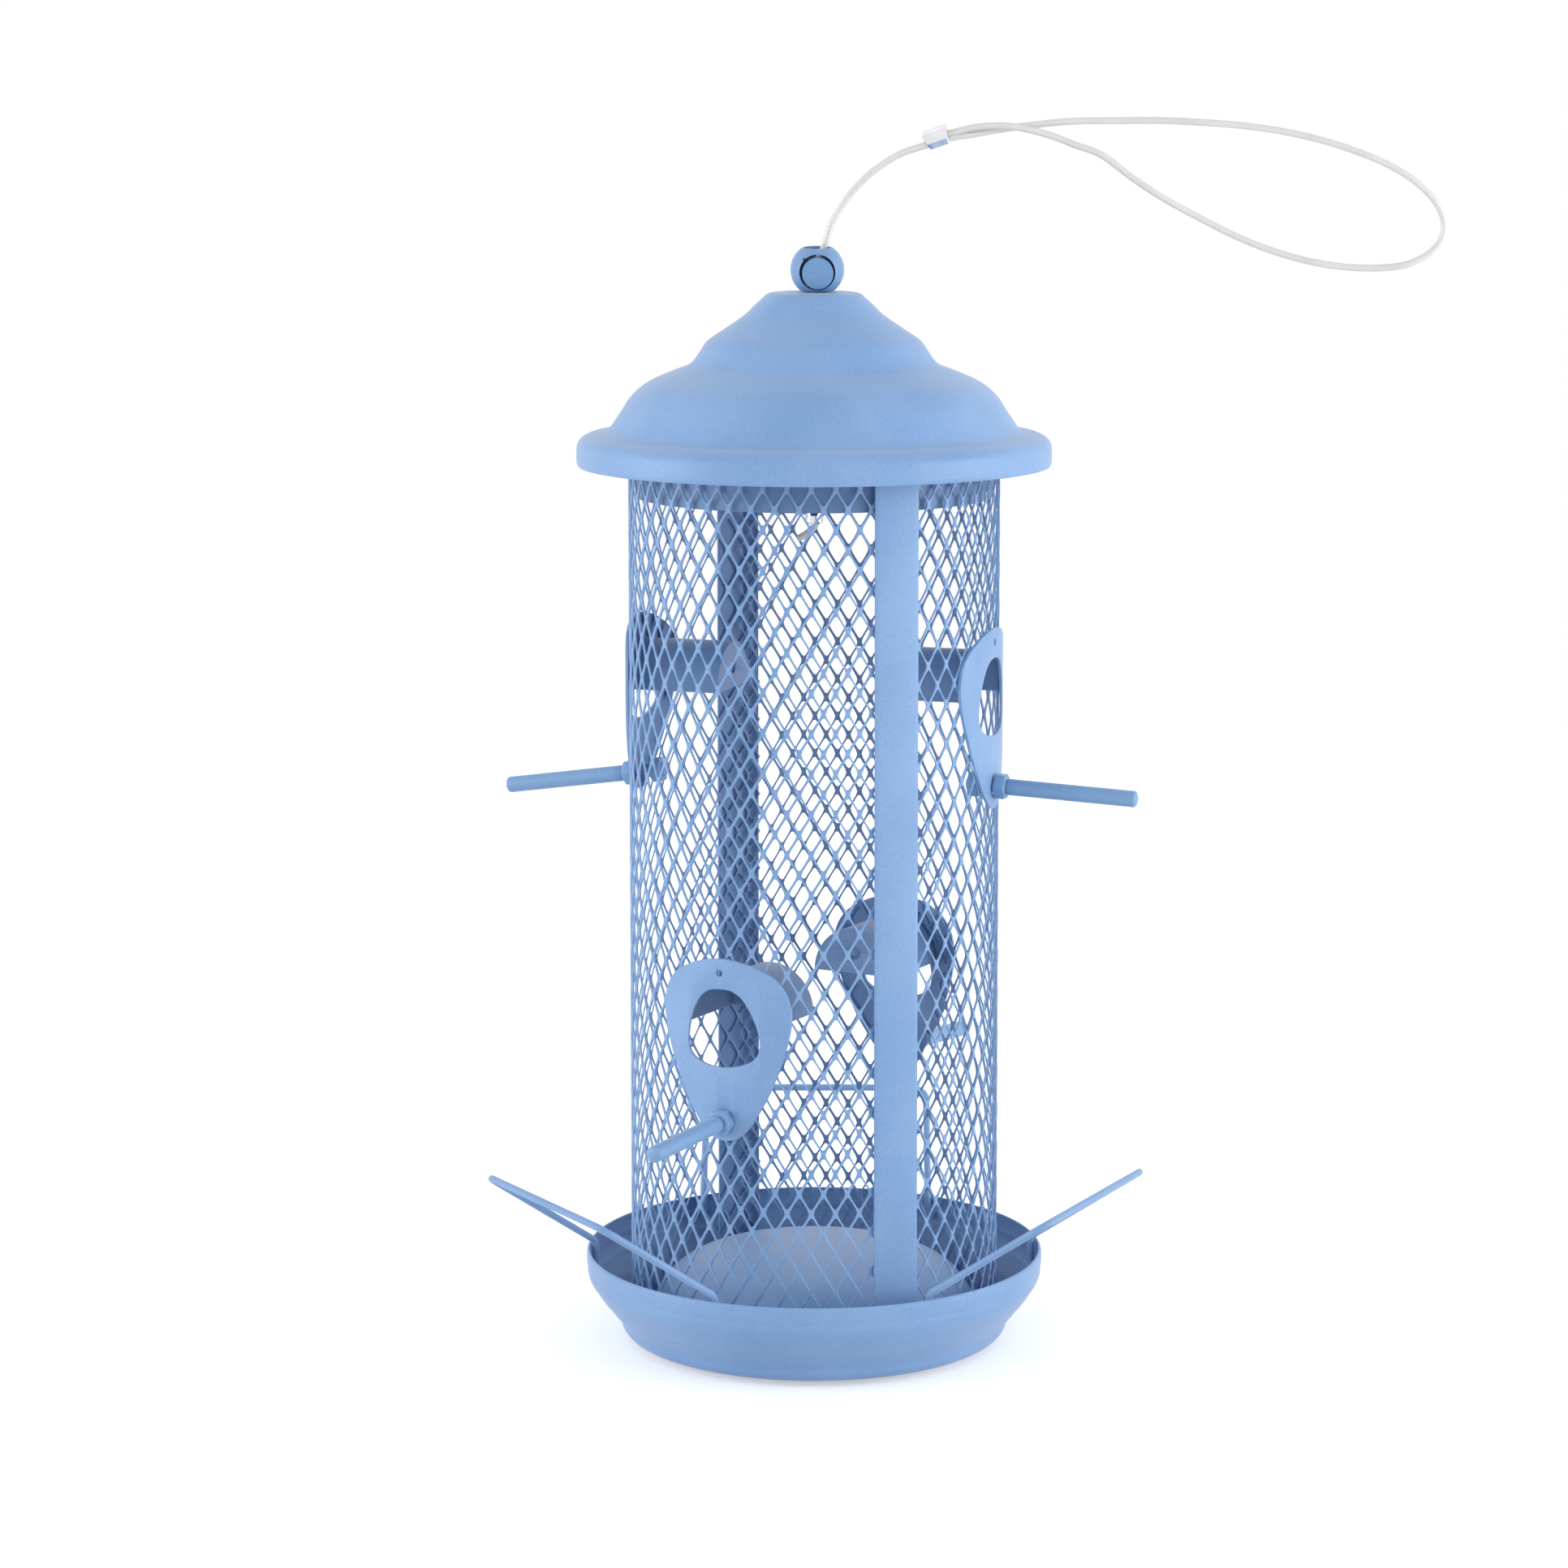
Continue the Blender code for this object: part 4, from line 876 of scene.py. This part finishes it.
# %% A plate and a hood for each port
for port, angle, tip, hood_lift, droop in PORTS:
    foot = tip * MM
    place = Matrix.Translation((0, 0, foot)) @ swung(angle)
    plate = moved(curved_plate("plate_" + port, PLATE_TURN.get(port, 0)), place)
    fitted(plate, coat_outside, "feeder", "port_plate_" + port)
    # The plate's inner faces get painted shade.
    add_painted_shade(plate)
    place = Matrix.Translation((0, 0, foot + HOLE_FOOT + hood_lift * MM)) @ swung(angle)
    # The hoods sit inside the tube and take the painted-shade coat.
    fitted(moved(hood("hood_" + port), place), coat_painted_shade_inside, "feeder", "seed_hood_" + port)
print("plates and hoods:", 2 * len(PORTS))

# %% [markdown]
# ## Perch rods and their nuts
# Each rod screws through its plate between two hexagonal nuts. The rods droop by different amounts, because
# the thin net gives way. A real nut has its corners turned off, so a hexagon is trimmed by a shallow cone.

# %% Rods, outer nuts and inner nuts
ROD_RADIUS, STUD_RADIUS = 2.3 * MM, 1.9 * MM
ROD_TIP, STUD_END = 95 * MM, 45.5 * MM
NUT_FLATS, NUT_LONG, NUT_BORE = 6.6 * MM, 3.3 * MM, 2.05 * MM
INNER_NUT_SEAT, INNER_NUT_LONG = 49.6 * MM, 3.2 * MM
coat_rod = powder_coat("powder_coat_rods", (0.168, 0.326, 0.570), (0.200, 0.366, 0.612), roughness=0.42)


def nut(name, length):
    """A hexagonal nut about the Z axis from height zero, with its outer corners turned off."""
    corner = NUT_FLATS / 2 / math.cos(math.radians(30))
    hexagon = [(corner * math.cos(math.radians(60 * k)), corner * math.sin(math.radians(60 * k)))
               for k in range(6)]
    body = lofted(name, [[(x, y, z) for x, y in hexagon] for z in (0, length)])
    low, high = NUT_FLATS * 0.47, length + 1e-5
    cone = [(0, -1e-5), (corner * 1.02, -1e-5), (corner * 1.02, length * 0.8), (low, high), (0, high)]
    carved(body, spun("turning", cone, steps=96), "INTERSECT", solver="EXACT")
    hole = [[(x, y, z) for x, y in circle_section(NUT_BORE, 30)] for z in (-MM, length + MM)]
    carved(body, lofted("bore", hole), solver="EXACT")
    return rounded(body, 0.12 * MM, smooth_angle=30)


def rod_line(tip, shoulder, foot):
    """The rod's (radius, height) outline along its own axis, with a soft painted tip."""
    line = [(0.0, tip)] + [(ROD_RADIUS * math.sin(t), tip - 1.1 * MM * (1 - math.cos(t)))
                           for t in np.linspace(0.25, math.pi / 2, 7)]
    line += [(ROD_RADIUS, z) for z in np.linspace(tip - 2 * MM, shoulder + 0.4 * MM, 12)]
    line += [(ROD_RADIUS - 0.25 * MM, shoulder), (STUD_RADIUS, shoulder)]
    return line + [(STUD_RADIUS, foot + 0.4 * MM), (STUD_RADIUS - 0.4 * MM, foot), (0.0, foot)]


PLATE_MIDDLE = STRAP_INNER + PLATE_THICK / 2
for port, angle, tip, hood_lift, droop in PORTS:
    height = tip * MM + STUD_HEIGHT + ROD_LIFT.get(port, 0)
    lean = math.tan(math.radians(droop)) * NUT_FLATS / 2 + 0.3 * MM
    aside = math.sin(math.radians(PLATE_TURN.get(port, 0))) * (PIVOT_HEIGHT - STUD_HEIGHT) * 0.45
    world = Matrix.Translation((0, 0, height)) @ swung(angle + math.degrees(aside / PLATE_MIDDLE))
    world = world @ Matrix.Translation((0, -PLATE_MIDDLE, 0)) @ swung(ROD_SWAY.get(port, 0))
    world = world @ Matrix.Rotation(math.radians(90 + droop), 4, "X")
    seat = PLATE_THICK / 2 + lean
    line = rod_line(ROD_TIP - PLATE_MIDDLE, seat + NUT_LONG + 0.1 * MM, STUD_END - PLATE_MIDDLE)
    rod = spun("rod_" + port, line, steps=40)
    fitted(moved(rod, world), coat_rod, "feeder", "perch_rod_" + port)
    outer = moved(nut("nut_" + port, NUT_LONG), world @ Matrix.Translation((0, 0, seat)))
    fitted(outer, coat_rod, "feeder", "perch_outer_nut_" + port)
    inner_seat = INNER_NUT_SEAT - math.tan(math.radians(droop)) * NUT_FLATS / 2 - PLATE_MIDDLE
    inner = nut("inner_nut_" + port, INNER_NUT_LONG)
    moved(inner, world @ Matrix.Translation((0, 0, inner_seat - INNER_NUT_LONG)))
    fitted(inner, coat_rod, "feeder", "perch_inner_nut_" + port)
print("rods and nuts:", 3 * len(PORTS))

# %% [markdown]
# ## The wire perches
# Three bent wires hook inside the tray's rim and rise outwards over it. Each is one wire: a short foot down
# the inside of the rim, a bend, a long rising arm, a corner, the bar that birds sit on, and back again.


# %% A path with round bends
def bent(points, radii, steps=8):
    """A path through corners, each rounded by its own radius."""
    points = [Vector(p) for p in points]
    path = [points[0]]
    for before, corner, after, radius in zip(points, points[1:], points[2:], radii):
        one, two = (before - corner).normalized(), (after - corner).normalized()
        half = one.angle(two) / 2
        centre = corner + (one + two).normalized() * radius / math.sin(half)
        first = (corner + one * radius / math.tan(half) - centre).normalized()
        last = (corner + two * radius / math.tan(half) - centre).normalized()
        path += [centre + first.slerp(last, k / (steps - 1)) * radius for k in range(steps)]
    return path + [points[-1]]


WIRES = (("left", -58.0), ("right", 62.6), ("back", 179.5))
WIRE_HALF, WIRE_REACH, WIRE_TIP = 33.65 * MM, 88.6 * MM, 50.7 * MM
WIRE_RADIUS, WIRE_FOOT, ELBOW, CORNER = 1.0 * MM, 6.5 * MM, 2.8 * MM, 5.0 * MM
RIM_RADIUS, knee = 65.3 * MM, 26.7 * MM
foot_reach = math.sqrt((RIM_RADIUS - 2 * SHEET - WIRE_RADIUS)**2 - WIRE_HALF**2)
for name, angle in WIRES:
    corners = [(-WIRE_HALF, -foot_reach, knee - WIRE_FOOT), (-WIRE_HALF, -foot_reach, knee),
               (-WIRE_HALF, -WIRE_REACH, WIRE_TIP), (WIRE_HALF, -WIRE_REACH, WIRE_TIP),
               (WIRE_HALF, -foot_reach, knee), (WIRE_HALF, -foot_reach, knee - WIRE_FOOT)]
    path = bent(corners, (ELBOW, CORNER, CORNER, ELBOW))
    perch = moved(wire("wire_" + name, path, WIRE_RADIUS), swung(angle))
    fitted(perch, coat_outside, "feeder", "wire_perch_" + name)
print("wire perches:", len(WIRES))

# %% [markdown]
# ## The ball lock
# A turned ball sits on the lid and grips the rope. A push button slides in a cross bore against a spring:
# pressed in, its slot lines up with the rope and the ball slides up, so the lid can be lifted for filling.
# The ball starts as a turned outline and is cut as a workshop would: a slanted flat on top, a wide mouth,
# the rope's way down, the cross bore, and a small notch beside it. It sits a little to one side on the stiff
# rope.

# %% The ball, its mouth and its bores
BALL_FOOT = 300.2 * MM
BALL_TOP = 312.4 * MM
BALL_RADIUS, BALL_WIDEST, BORE_AT = 7.55 * MM, 0.49, 0.445
BALL_MIDDLE = BALL_FOOT + BORE_AT * (BALL_TOP - BALL_FOOT)
BORE_RADIUS, BORE_END = 5.05 * MM, 5.2 * MM
MOUTH_RADIUS, MOUTH_RISE, MOUTH_TILT = 3.8 * MM, 0.35 * MM, 4.5
ROPE_WAY = 2.2 * MM
NOTCH_RADIUS, NOTCH_ASIDE = 0.6 * MM, 3.6 * MM
BALL_ASIDE = Matrix.Translation((0.9 * MM, 0, 0))


def ball_outline():
    """The ball's (radius, height) outline, with flats at its foot and its mouth."""
    middle = BALL_FOOT + BALL_WIDEST * (BALL_TOP - BALL_FOOT)
    low = -math.asin((middle - BALL_FOOT) / BALL_RADIUS)
    high = math.asin(min(1.0, (BALL_TOP + MOUTH_RISE - middle) / BALL_RADIUS))
    side = [(BALL_RADIUS * math.cos(t), middle + BALL_RADIUS * math.sin(t))
            for t in np.linspace(high, low, 40)]
    return [(0.0, BALL_TOP + MOUTH_RISE), *side, (0.0, BALL_FOOT)]


def upright(radius, low, high, count=64):
    """A round bar along the tube's axis."""
    return lofted("bar", [[around(360 * k / count, radius, z) for k in range(count)] for z in (low, high)])


def level(radius, start, end, height, count=64):
    """A round bar along Y."""
    return prism("bar", round_loop(radius, 0, height, count), start, end)


ball = spun("ball_lock_ball", ball_outline(), steps=96)
slant = Matrix.Translation((0, 0, BALL_TOP)) @ Matrix.Rotation(math.radians(MOUTH_TILT), 4, "X")
notch = level(NOTCH_RADIUS, -10 * MM, -4 * MM, BALL_MIDDLE + NOTCH_ASIDE, 4)
for cutter in (moved(upright(12 * MM, 0, 6 * MM), slant),
               upright(MOUTH_RADIUS, BALL_MIDDLE, BALL_TOP + 2 * MM),
               upright(ROPE_WAY, BALL_FOOT - MM, BALL_MIDDLE),
               level(BORE_RADIUS, -10 * MM, BORE_END, BALL_MIDDLE),
               moved(notch, Matrix.Translation((-NOTCH_ASIDE, 0, 0)))):
    carved(ball, cutter, solver="EXACT")
rounded(ball, 0.25 * MM, segments=3)
coat_ball = powder_coat("powder_coat_ball", (0.148, 0.282, 0.515), (0.178, 0.325, 0.575))
fitted(moved(ball, BALL_ASIDE), coat_ball, "ball_lock", "lock_ball")
print("ball triangles:", faces_of(ball))

# %% The push button and its spring
BUTTON_RADIUS = 4.40 * MM
BUTTON_DROP = 0.3 * MM
BUTTON_ASIDE = Matrix.Translation((0.12 * MM, 0, 0))
BUTTON_FRONT, BUTTON_BACK = -6.0 * MM, 3.0 * MM
SLOT_HALF, SLOT_BACK = 2.9 * MM, 1.4 * MM
button = level(BUTTON_RADIUS, BUTTON_FRONT, BUTTON_BACK, BALL_MIDDLE - BUTTON_DROP, 96)
button.name = "push_button_cap"
slot_low, slot_high = BALL_MIDDLE - 8 * MM, BALL_MIDDLE + 8 * MM
slot = [(-SLOT_HALF, slot_low), (SLOT_HALF, slot_low), (SLOT_HALF, slot_high), (-SLOT_HALF, slot_high)]
carved(button, prism("slot", slot, -SLOT_HALF, SLOT_BACK), solver="EXACT")
rounded(button, 0.42 * MM)
coat_button = powder_coat("powder_coat_button", (0.135, 0.285, 0.515), (0.160, 0.320, 0.555), roughness=0.34)
fitted(moved(button, BUTTON_ASIDE @ BALL_ASIDE), coat_button, "button", "push_button")

SPRING_RADIUS, SPRING_WIRE, SPRING_TURNS = 3.0 * MM, 0.2 * MM, 2
start, end = BUTTON_BACK + 0.5 * MM, 4.7 * MM
coil = []
for share in np.linspace(0, 1, 73):
    turn = 2 * math.pi * SPRING_TURNS * share
    coil.append((SPRING_RADIUS * math.cos(turn), start + (end - start) * share,
                 BALL_MIDDLE + SPRING_RADIUS * math.sin(turn)))
spring = wire("return_spring", coil, SPRING_WIRE, count=10)
fitted(moved(spring, BALL_ASIDE), spring_metal, "ball_lock", "button_spring", slot="spring_steel")
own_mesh(spring)
print("button and spring at", round(BALL_MIDDLE / MM, 1), "mm")

# %% [markdown]
# ## The rope inside and its sleeves
# Inside the tube the rope ends in a crimped stop under the bar, with its cut end sticking out. From there it
# runs up through the lid into the ball. The lid slides on it; this stretch is handed to no body, and a short
# length that rides on the ball fills the way through the lid when the ball is raised.

# %% Rope from the stop to the lid, and on into the ball
LID_TOP = 299.9 * MM
STOP_TOP, STOP_TALL, STOP_RADIUS, STOP_BORE = bridge_low.z - 0.3 * MM, 7.2 * MM, 2.6 * MM, 1.2 * MM
STOP_FOOT = STOP_TOP - STOP_TALL
tail = [(-4.6 * MM, 0, STOP_FOOT - 4.4 * MM), (-2.6 * MM, 0, STOP_FOOT - 3.3 * MM),
        (-0.9 * MM, 0, STOP_FOOT - 1.9 * MM), (0, 0, STOP_FOOT - 0.2 * MM), (0, 0, STOP_TOP)]
tail += [(0, 0, z) for z in np.linspace(STOP_TOP + 5 * MM, LID_TOP - 0.5 * MM, 8)]
inside_path, inside_length = even_path(tail, ROPE_STEP)
inside_rope = fitted(rope("rope_inside", inside_path), rope_steel, None, "cable_core", slot="cable_steel")
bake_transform(inside_rope)
lead = [(0, 0, z) for z in np.linspace(LID_TOP - 13 * MM, 301.5 * MM, 5)]
lead_path, lead_length = even_path(lead, ROPE_STEP)
fitted(rope("rope_through_lid", lead_path, ROPE_RADIUS * 0.97), rope_steel, "ball_lock", slot="cable_steel")
print("rope inside:", round(float(inside_length) / MM, 1), "mm")
print("rope through the lid:", round(float(lead_length) / MM, 1), "mm")


# %% The crimped stop
def crimped_collar(name, radius, bore, low, high, dent):
    """A round collar squeezed in two places, with a round hole through it."""
    rings = []
    for z in np.linspace(low, high, 25):
        share = (z - low) / (high - low)
        squeeze = 1 - dent * (math.exp(-((share - 0.3) / 0.1)**2) + math.exp(-((share - 0.7) / 0.1)**2))
        edge = 1 - 0.08 * math.exp(-(min(share, 1 - share) / 0.04)**2)
        rings.append([(radius * squeeze * edge * math.cos(math.radians(10 * k)),
                       radius * edge * (2 - squeeze) * math.sin(math.radians(10 * k)), z) for k in range(36)])
    collar = lofted(name, rings)
    return carved(collar, upright(bore, low - MM, high + MM, 36), solver="EXACT")


stop = crimped_collar("rope_stop", STOP_RADIUS, STOP_BORE, STOP_FOOT, STOP_TOP, 0.1)
fitted(stop, sleeve_metal, "feeder", "cable_stop", slot="crimp_aluminium")
print("stop:", round(STOP_TALL / MM, 1), "mm tall")

# %% [markdown]
# ### The loop's sleeve
# The sleeve is an oval aluminium tube, pressed flat round both strands. Its ends are cut a little slanted
# and the press leaves a soft waist. Each ring of its skin leans a little more than the last, from one end's
# line to the other's, so the ends need no cut. A round-ended slot then makes way for the two strands.

# %% Where the sleeve sits on the rope
SLEEVE_AT = 11
SLEEVE_CENTRE = Vector((0.03455, 0, FEEDER_HEIGHT + 0.0309))
SLEEVE_LEAN = 19.2
leading, trailing = Vector(ROPE_ROUTE[SLEEVE_AT]), Vector(ROPE_ROUTE[-2])
turn = math.radians(SLEEVE_LEAN)
along = Vector((math.cos(turn), 0, math.sin(turn)))
across = trailing - leading
apart = (across - along * across.dot(along)).length
sleeve_place = Matrix.Translation(SLEEVE_CENTRE) @ Matrix.Rotation(-turn, 4, "Y")
print("two strands", round(apart / MM, 2), "mm apart in the sleeve")

# %% An oval, pressed sleeve
SLEEVE_SIDE = ((0.0, 2.80), (0.7, 2.78), (1.2, 2.62), (1.6, 2.32), (1.86, 1.9), (1.95, 1.4), (1.95, -1.1),
               (0.45, -2.75), (0.25, -2.83), (0.0, -2.86))
LEFT_END = ((-2.86, -2.9), (-1.2, -3.45), (0.3, -4.2), (1.4, -4.35), (2.0, -3.8), (2.8, -3.05))
RIGHT_END = ((-2.86, 2.7), (-1.2, 2.65), (0.8, 2.9), (2.8, 3.35))


def end_at(line, z):
    """How far the sleeve reaches at a height across it, in metres."""
    return float(np.interp(z / MM, [p[0] for p in line], [p[1] for p in line])) * MM


def slot_loop(tall, deep):
    """A round-ended slot's outline in (y, z), for two strands side by side."""
    return [(y, z + math.copysign((tall - deep) / 2, z)) for y, z in circle_section(deep / 2, 40)]


section = [(y * MM, z * MM) for y, z in SLEEVE_SIDE]
section += [(-y, z) for y, z in section[-2:0:-1]]
rings = []
for share in np.linspace(0, 1, 21):
    waist = 1 - 0.05 * math.exp(-((share - 0.5) / 0.22)**2)
    lip = 1 - 0.05 * math.exp(-(min(share, 1 - share) / 0.03)**2)
    rings.append([(end_at(LEFT_END, z) * (1 - share) + end_at(RIGHT_END, z) * share, y * waist * lip, z * lip)
                  for y, z in section])
sleeve = lofted("loop_sleeve_oval", rings)
bore = 2 * (ROPE_RADIUS + 0.32 * MM)
way = lofted("way", [[(x, y, z) for y, z in slot_loop(apart + bore, bore)] for x in (-8 * MM, 8 * MM)])
carved(sleeve, way, solver="EXACT", smooth_angle=23)
fitted(moved(sleeve, sleeve_place), sleeve_metal, "ball_lock", "loop_sleeve", slot="crimp_aluminium")
# Faces that look down and forwards take the bluish metal, a painted reflection of the lid below.
sleeve.data.materials.append(facet_reflection_metal)
for face in sleeve.data.polygons:
    if face.normal.y < -0.6 and face.normal.z < -0.5:
        face.material_index = 1
print("sleeve triangles:", faces_of(sleeve))

# %% [markdown]
# ### What the cord is
# A simulator needs a cord's facts, and not only its skin: where it leaves, how long and thick it is, how
# stiff, what is at its far end and which pieces go with it. This cell prints the rope's length and thickness.

# %% The cord's facts
print("cord:", round(float(rope_length), 3), "m of rope,", round(2 * ROPE_RADIUS / MM, 2), "mm thick")

# %% [markdown]
# ## Floor, background and light
# The product stands on white. The floor is a large pale disc that keeps the feeder's shadow, and the world
# is plain white to the camera and a soft grey-white, weaker overhead, to everything else. Turning the lamps
# up until the floor is white would bleach the blue, so a glow that only straight sight, shiny and clear
# surfaces get lifts it. Three big soft lamps stand left, right and above, so the middle of round pieces is
# darker than their sides.

# %% A test for straight sight
def direct_sight(nodes, links):
    """One for what the camera sees straight, mirrored or through glass, and none for light."""
    sight = nodes.new("ShaderNodeLightPath")
    total = sight.outputs["Is Camera Ray"]
    for ray in ("Is Glossy Ray", "Is Transmission Ray"):
        either = nodes.new("ShaderNodeMath")
        either.operation = "MAXIMUM"
        links.new(total, either.inputs[0])
        links.new(sight.outputs[ray], either.inputs[1])
        total = either.outputs["Value"]
    return total


print("rays that see the white:", "camera, glossy and transmission")

# %% The floor
FLOOR_GREY, FLOOR_GLOW, FLOOR_RADIUS, FLOOR_DROP = 0.80, 0.44, 1.2, 0.0002


def backdrop_paint(name):
    """A pale matt paint that a camera sees as white where no shadow falls."""
    paint = bpy.data.materials.new(name)
    paint.use_nodes = True
    nodes, links = paint.node_tree.nodes, paint.node_tree.links
    shader = nodes["Principled BSDF"]
    shader.inputs["Base Color"].default_value = (FLOOR_GREY, FLOOR_GREY, FLOOR_GREY, 1)
    shader.inputs["Roughness"].default_value = 0.9
    shader.inputs["Specular IOR Level"].default_value = 0.1
    glow = nodes.new("ShaderNodeEmission")
    sight = direct_sight(nodes, links)
    weak = nodes.new("ShaderNodeMath")
    weak.operation = "MULTIPLY"
    weak.inputs[1].default_value = FLOOR_GLOW
    add = nodes.new("ShaderNodeAddShader")
    links.new(sight, weak.inputs[0])
    links.new(weak.outputs["Value"], glow.inputs["Strength"])
    links.new(shader.outputs["BSDF"], add.inputs[0])
    links.new(glow.outputs["Emission"], add.inputs[1])
    links.new(add.outputs["Shader"], nodes["Material Output"].inputs["Surface"])
    return paint


bm = bmesh.new()
bmesh.ops.create_circle(bm, cap_ends=True, segments=96, radius=FLOOR_RADIUS)
floor_mesh = bpy.data.meshes.new("studio_floor")
bm.to_mesh(floor_mesh)
bm.free()
floor = bpy.data.objects.new("studio_floor", floor_mesh)
floor.location = (0, 0, -FLOOR_DROP)
floor_mesh.materials.append(backdrop_paint("studio_white"))
bpy.context.scene.collection.objects.link(floor)
print("floor:", 2 * FLOOR_RADIUS, "m across")

# %% The white world
SKY_BELOW, SKY_ABOVE = 1.0, 0.62
world_light = bpy.data.worlds.new("studio_air")
bpy.context.scene.world = world_light
world_light.use_nodes = True
nodes, links = world_light.node_tree.nodes, world_light.node_tree.links
seen = nodes.new("ShaderNodeBackground")
seen.inputs["Color"].default_value = (1, 1, 1, 1)
lit = nodes["Background"]
lit.inputs["Color"].default_value = (0.97, 0.98, 1.0, 1)
place = nodes.new("ShaderNodeTexCoord")
parts = nodes.new("ShaderNodeSeparateXYZ")
fade = nodes.new("ShaderNodeMapRange")
fade.inputs["To Min"].default_value, fade.inputs["To Max"].default_value = SKY_BELOW, SKY_ABOVE
links.new(place.outputs["Generated"], parts.inputs["Vector"])
links.new(parts.outputs["Z"], fade.inputs["Value"])
links.new(fade.outputs["Result"], lit.inputs["Strength"])
mix = nodes.new("ShaderNodeMixShader")
links.new(direct_sight(nodes, links), mix.inputs["Fac"])
links.new(lit.outputs["Background"], mix.inputs[1])
links.new(seen.outputs["Background"], mix.inputs[2])
links.new(mix.outputs["Shader"], nodes["World Output"].inputs["Surface"])
print("world strength:", SKY_BELOW, "at eye level to", SKY_ABOVE, "overhead")


# %% Three soft lamps
def soft_lamp(name, place, target, size, power):
    """A large square lamp that faces a point."""
    light = bpy.data.lights.new(name, "AREA")
    light.size, light.energy = size, power
    lamp = bpy.data.objects.new(name, light)
    lamp.location = place
    lamp.rotation_euler = (Vector(target) - Vector(place)).to_track_quat("-Z", "Y").to_euler()
    bpy.context.scene.collection.objects.link(lamp)


soft_lamp("lamp_left", (-1.3, -0.38, 0.35), (0, 0, 0.16), 0.9, 8.5)
soft_lamp("lamp_right", (1.3, -0.38, 0.35), (0, 0, 0.16), 0.9, 10.5)
soft_lamp("lamp_above", (0.0, -0.5, 1.6), (0, 0, 0.2), 1.0, 0.6)
bpy.context.scene.view_settings.view_transform = "Standard"
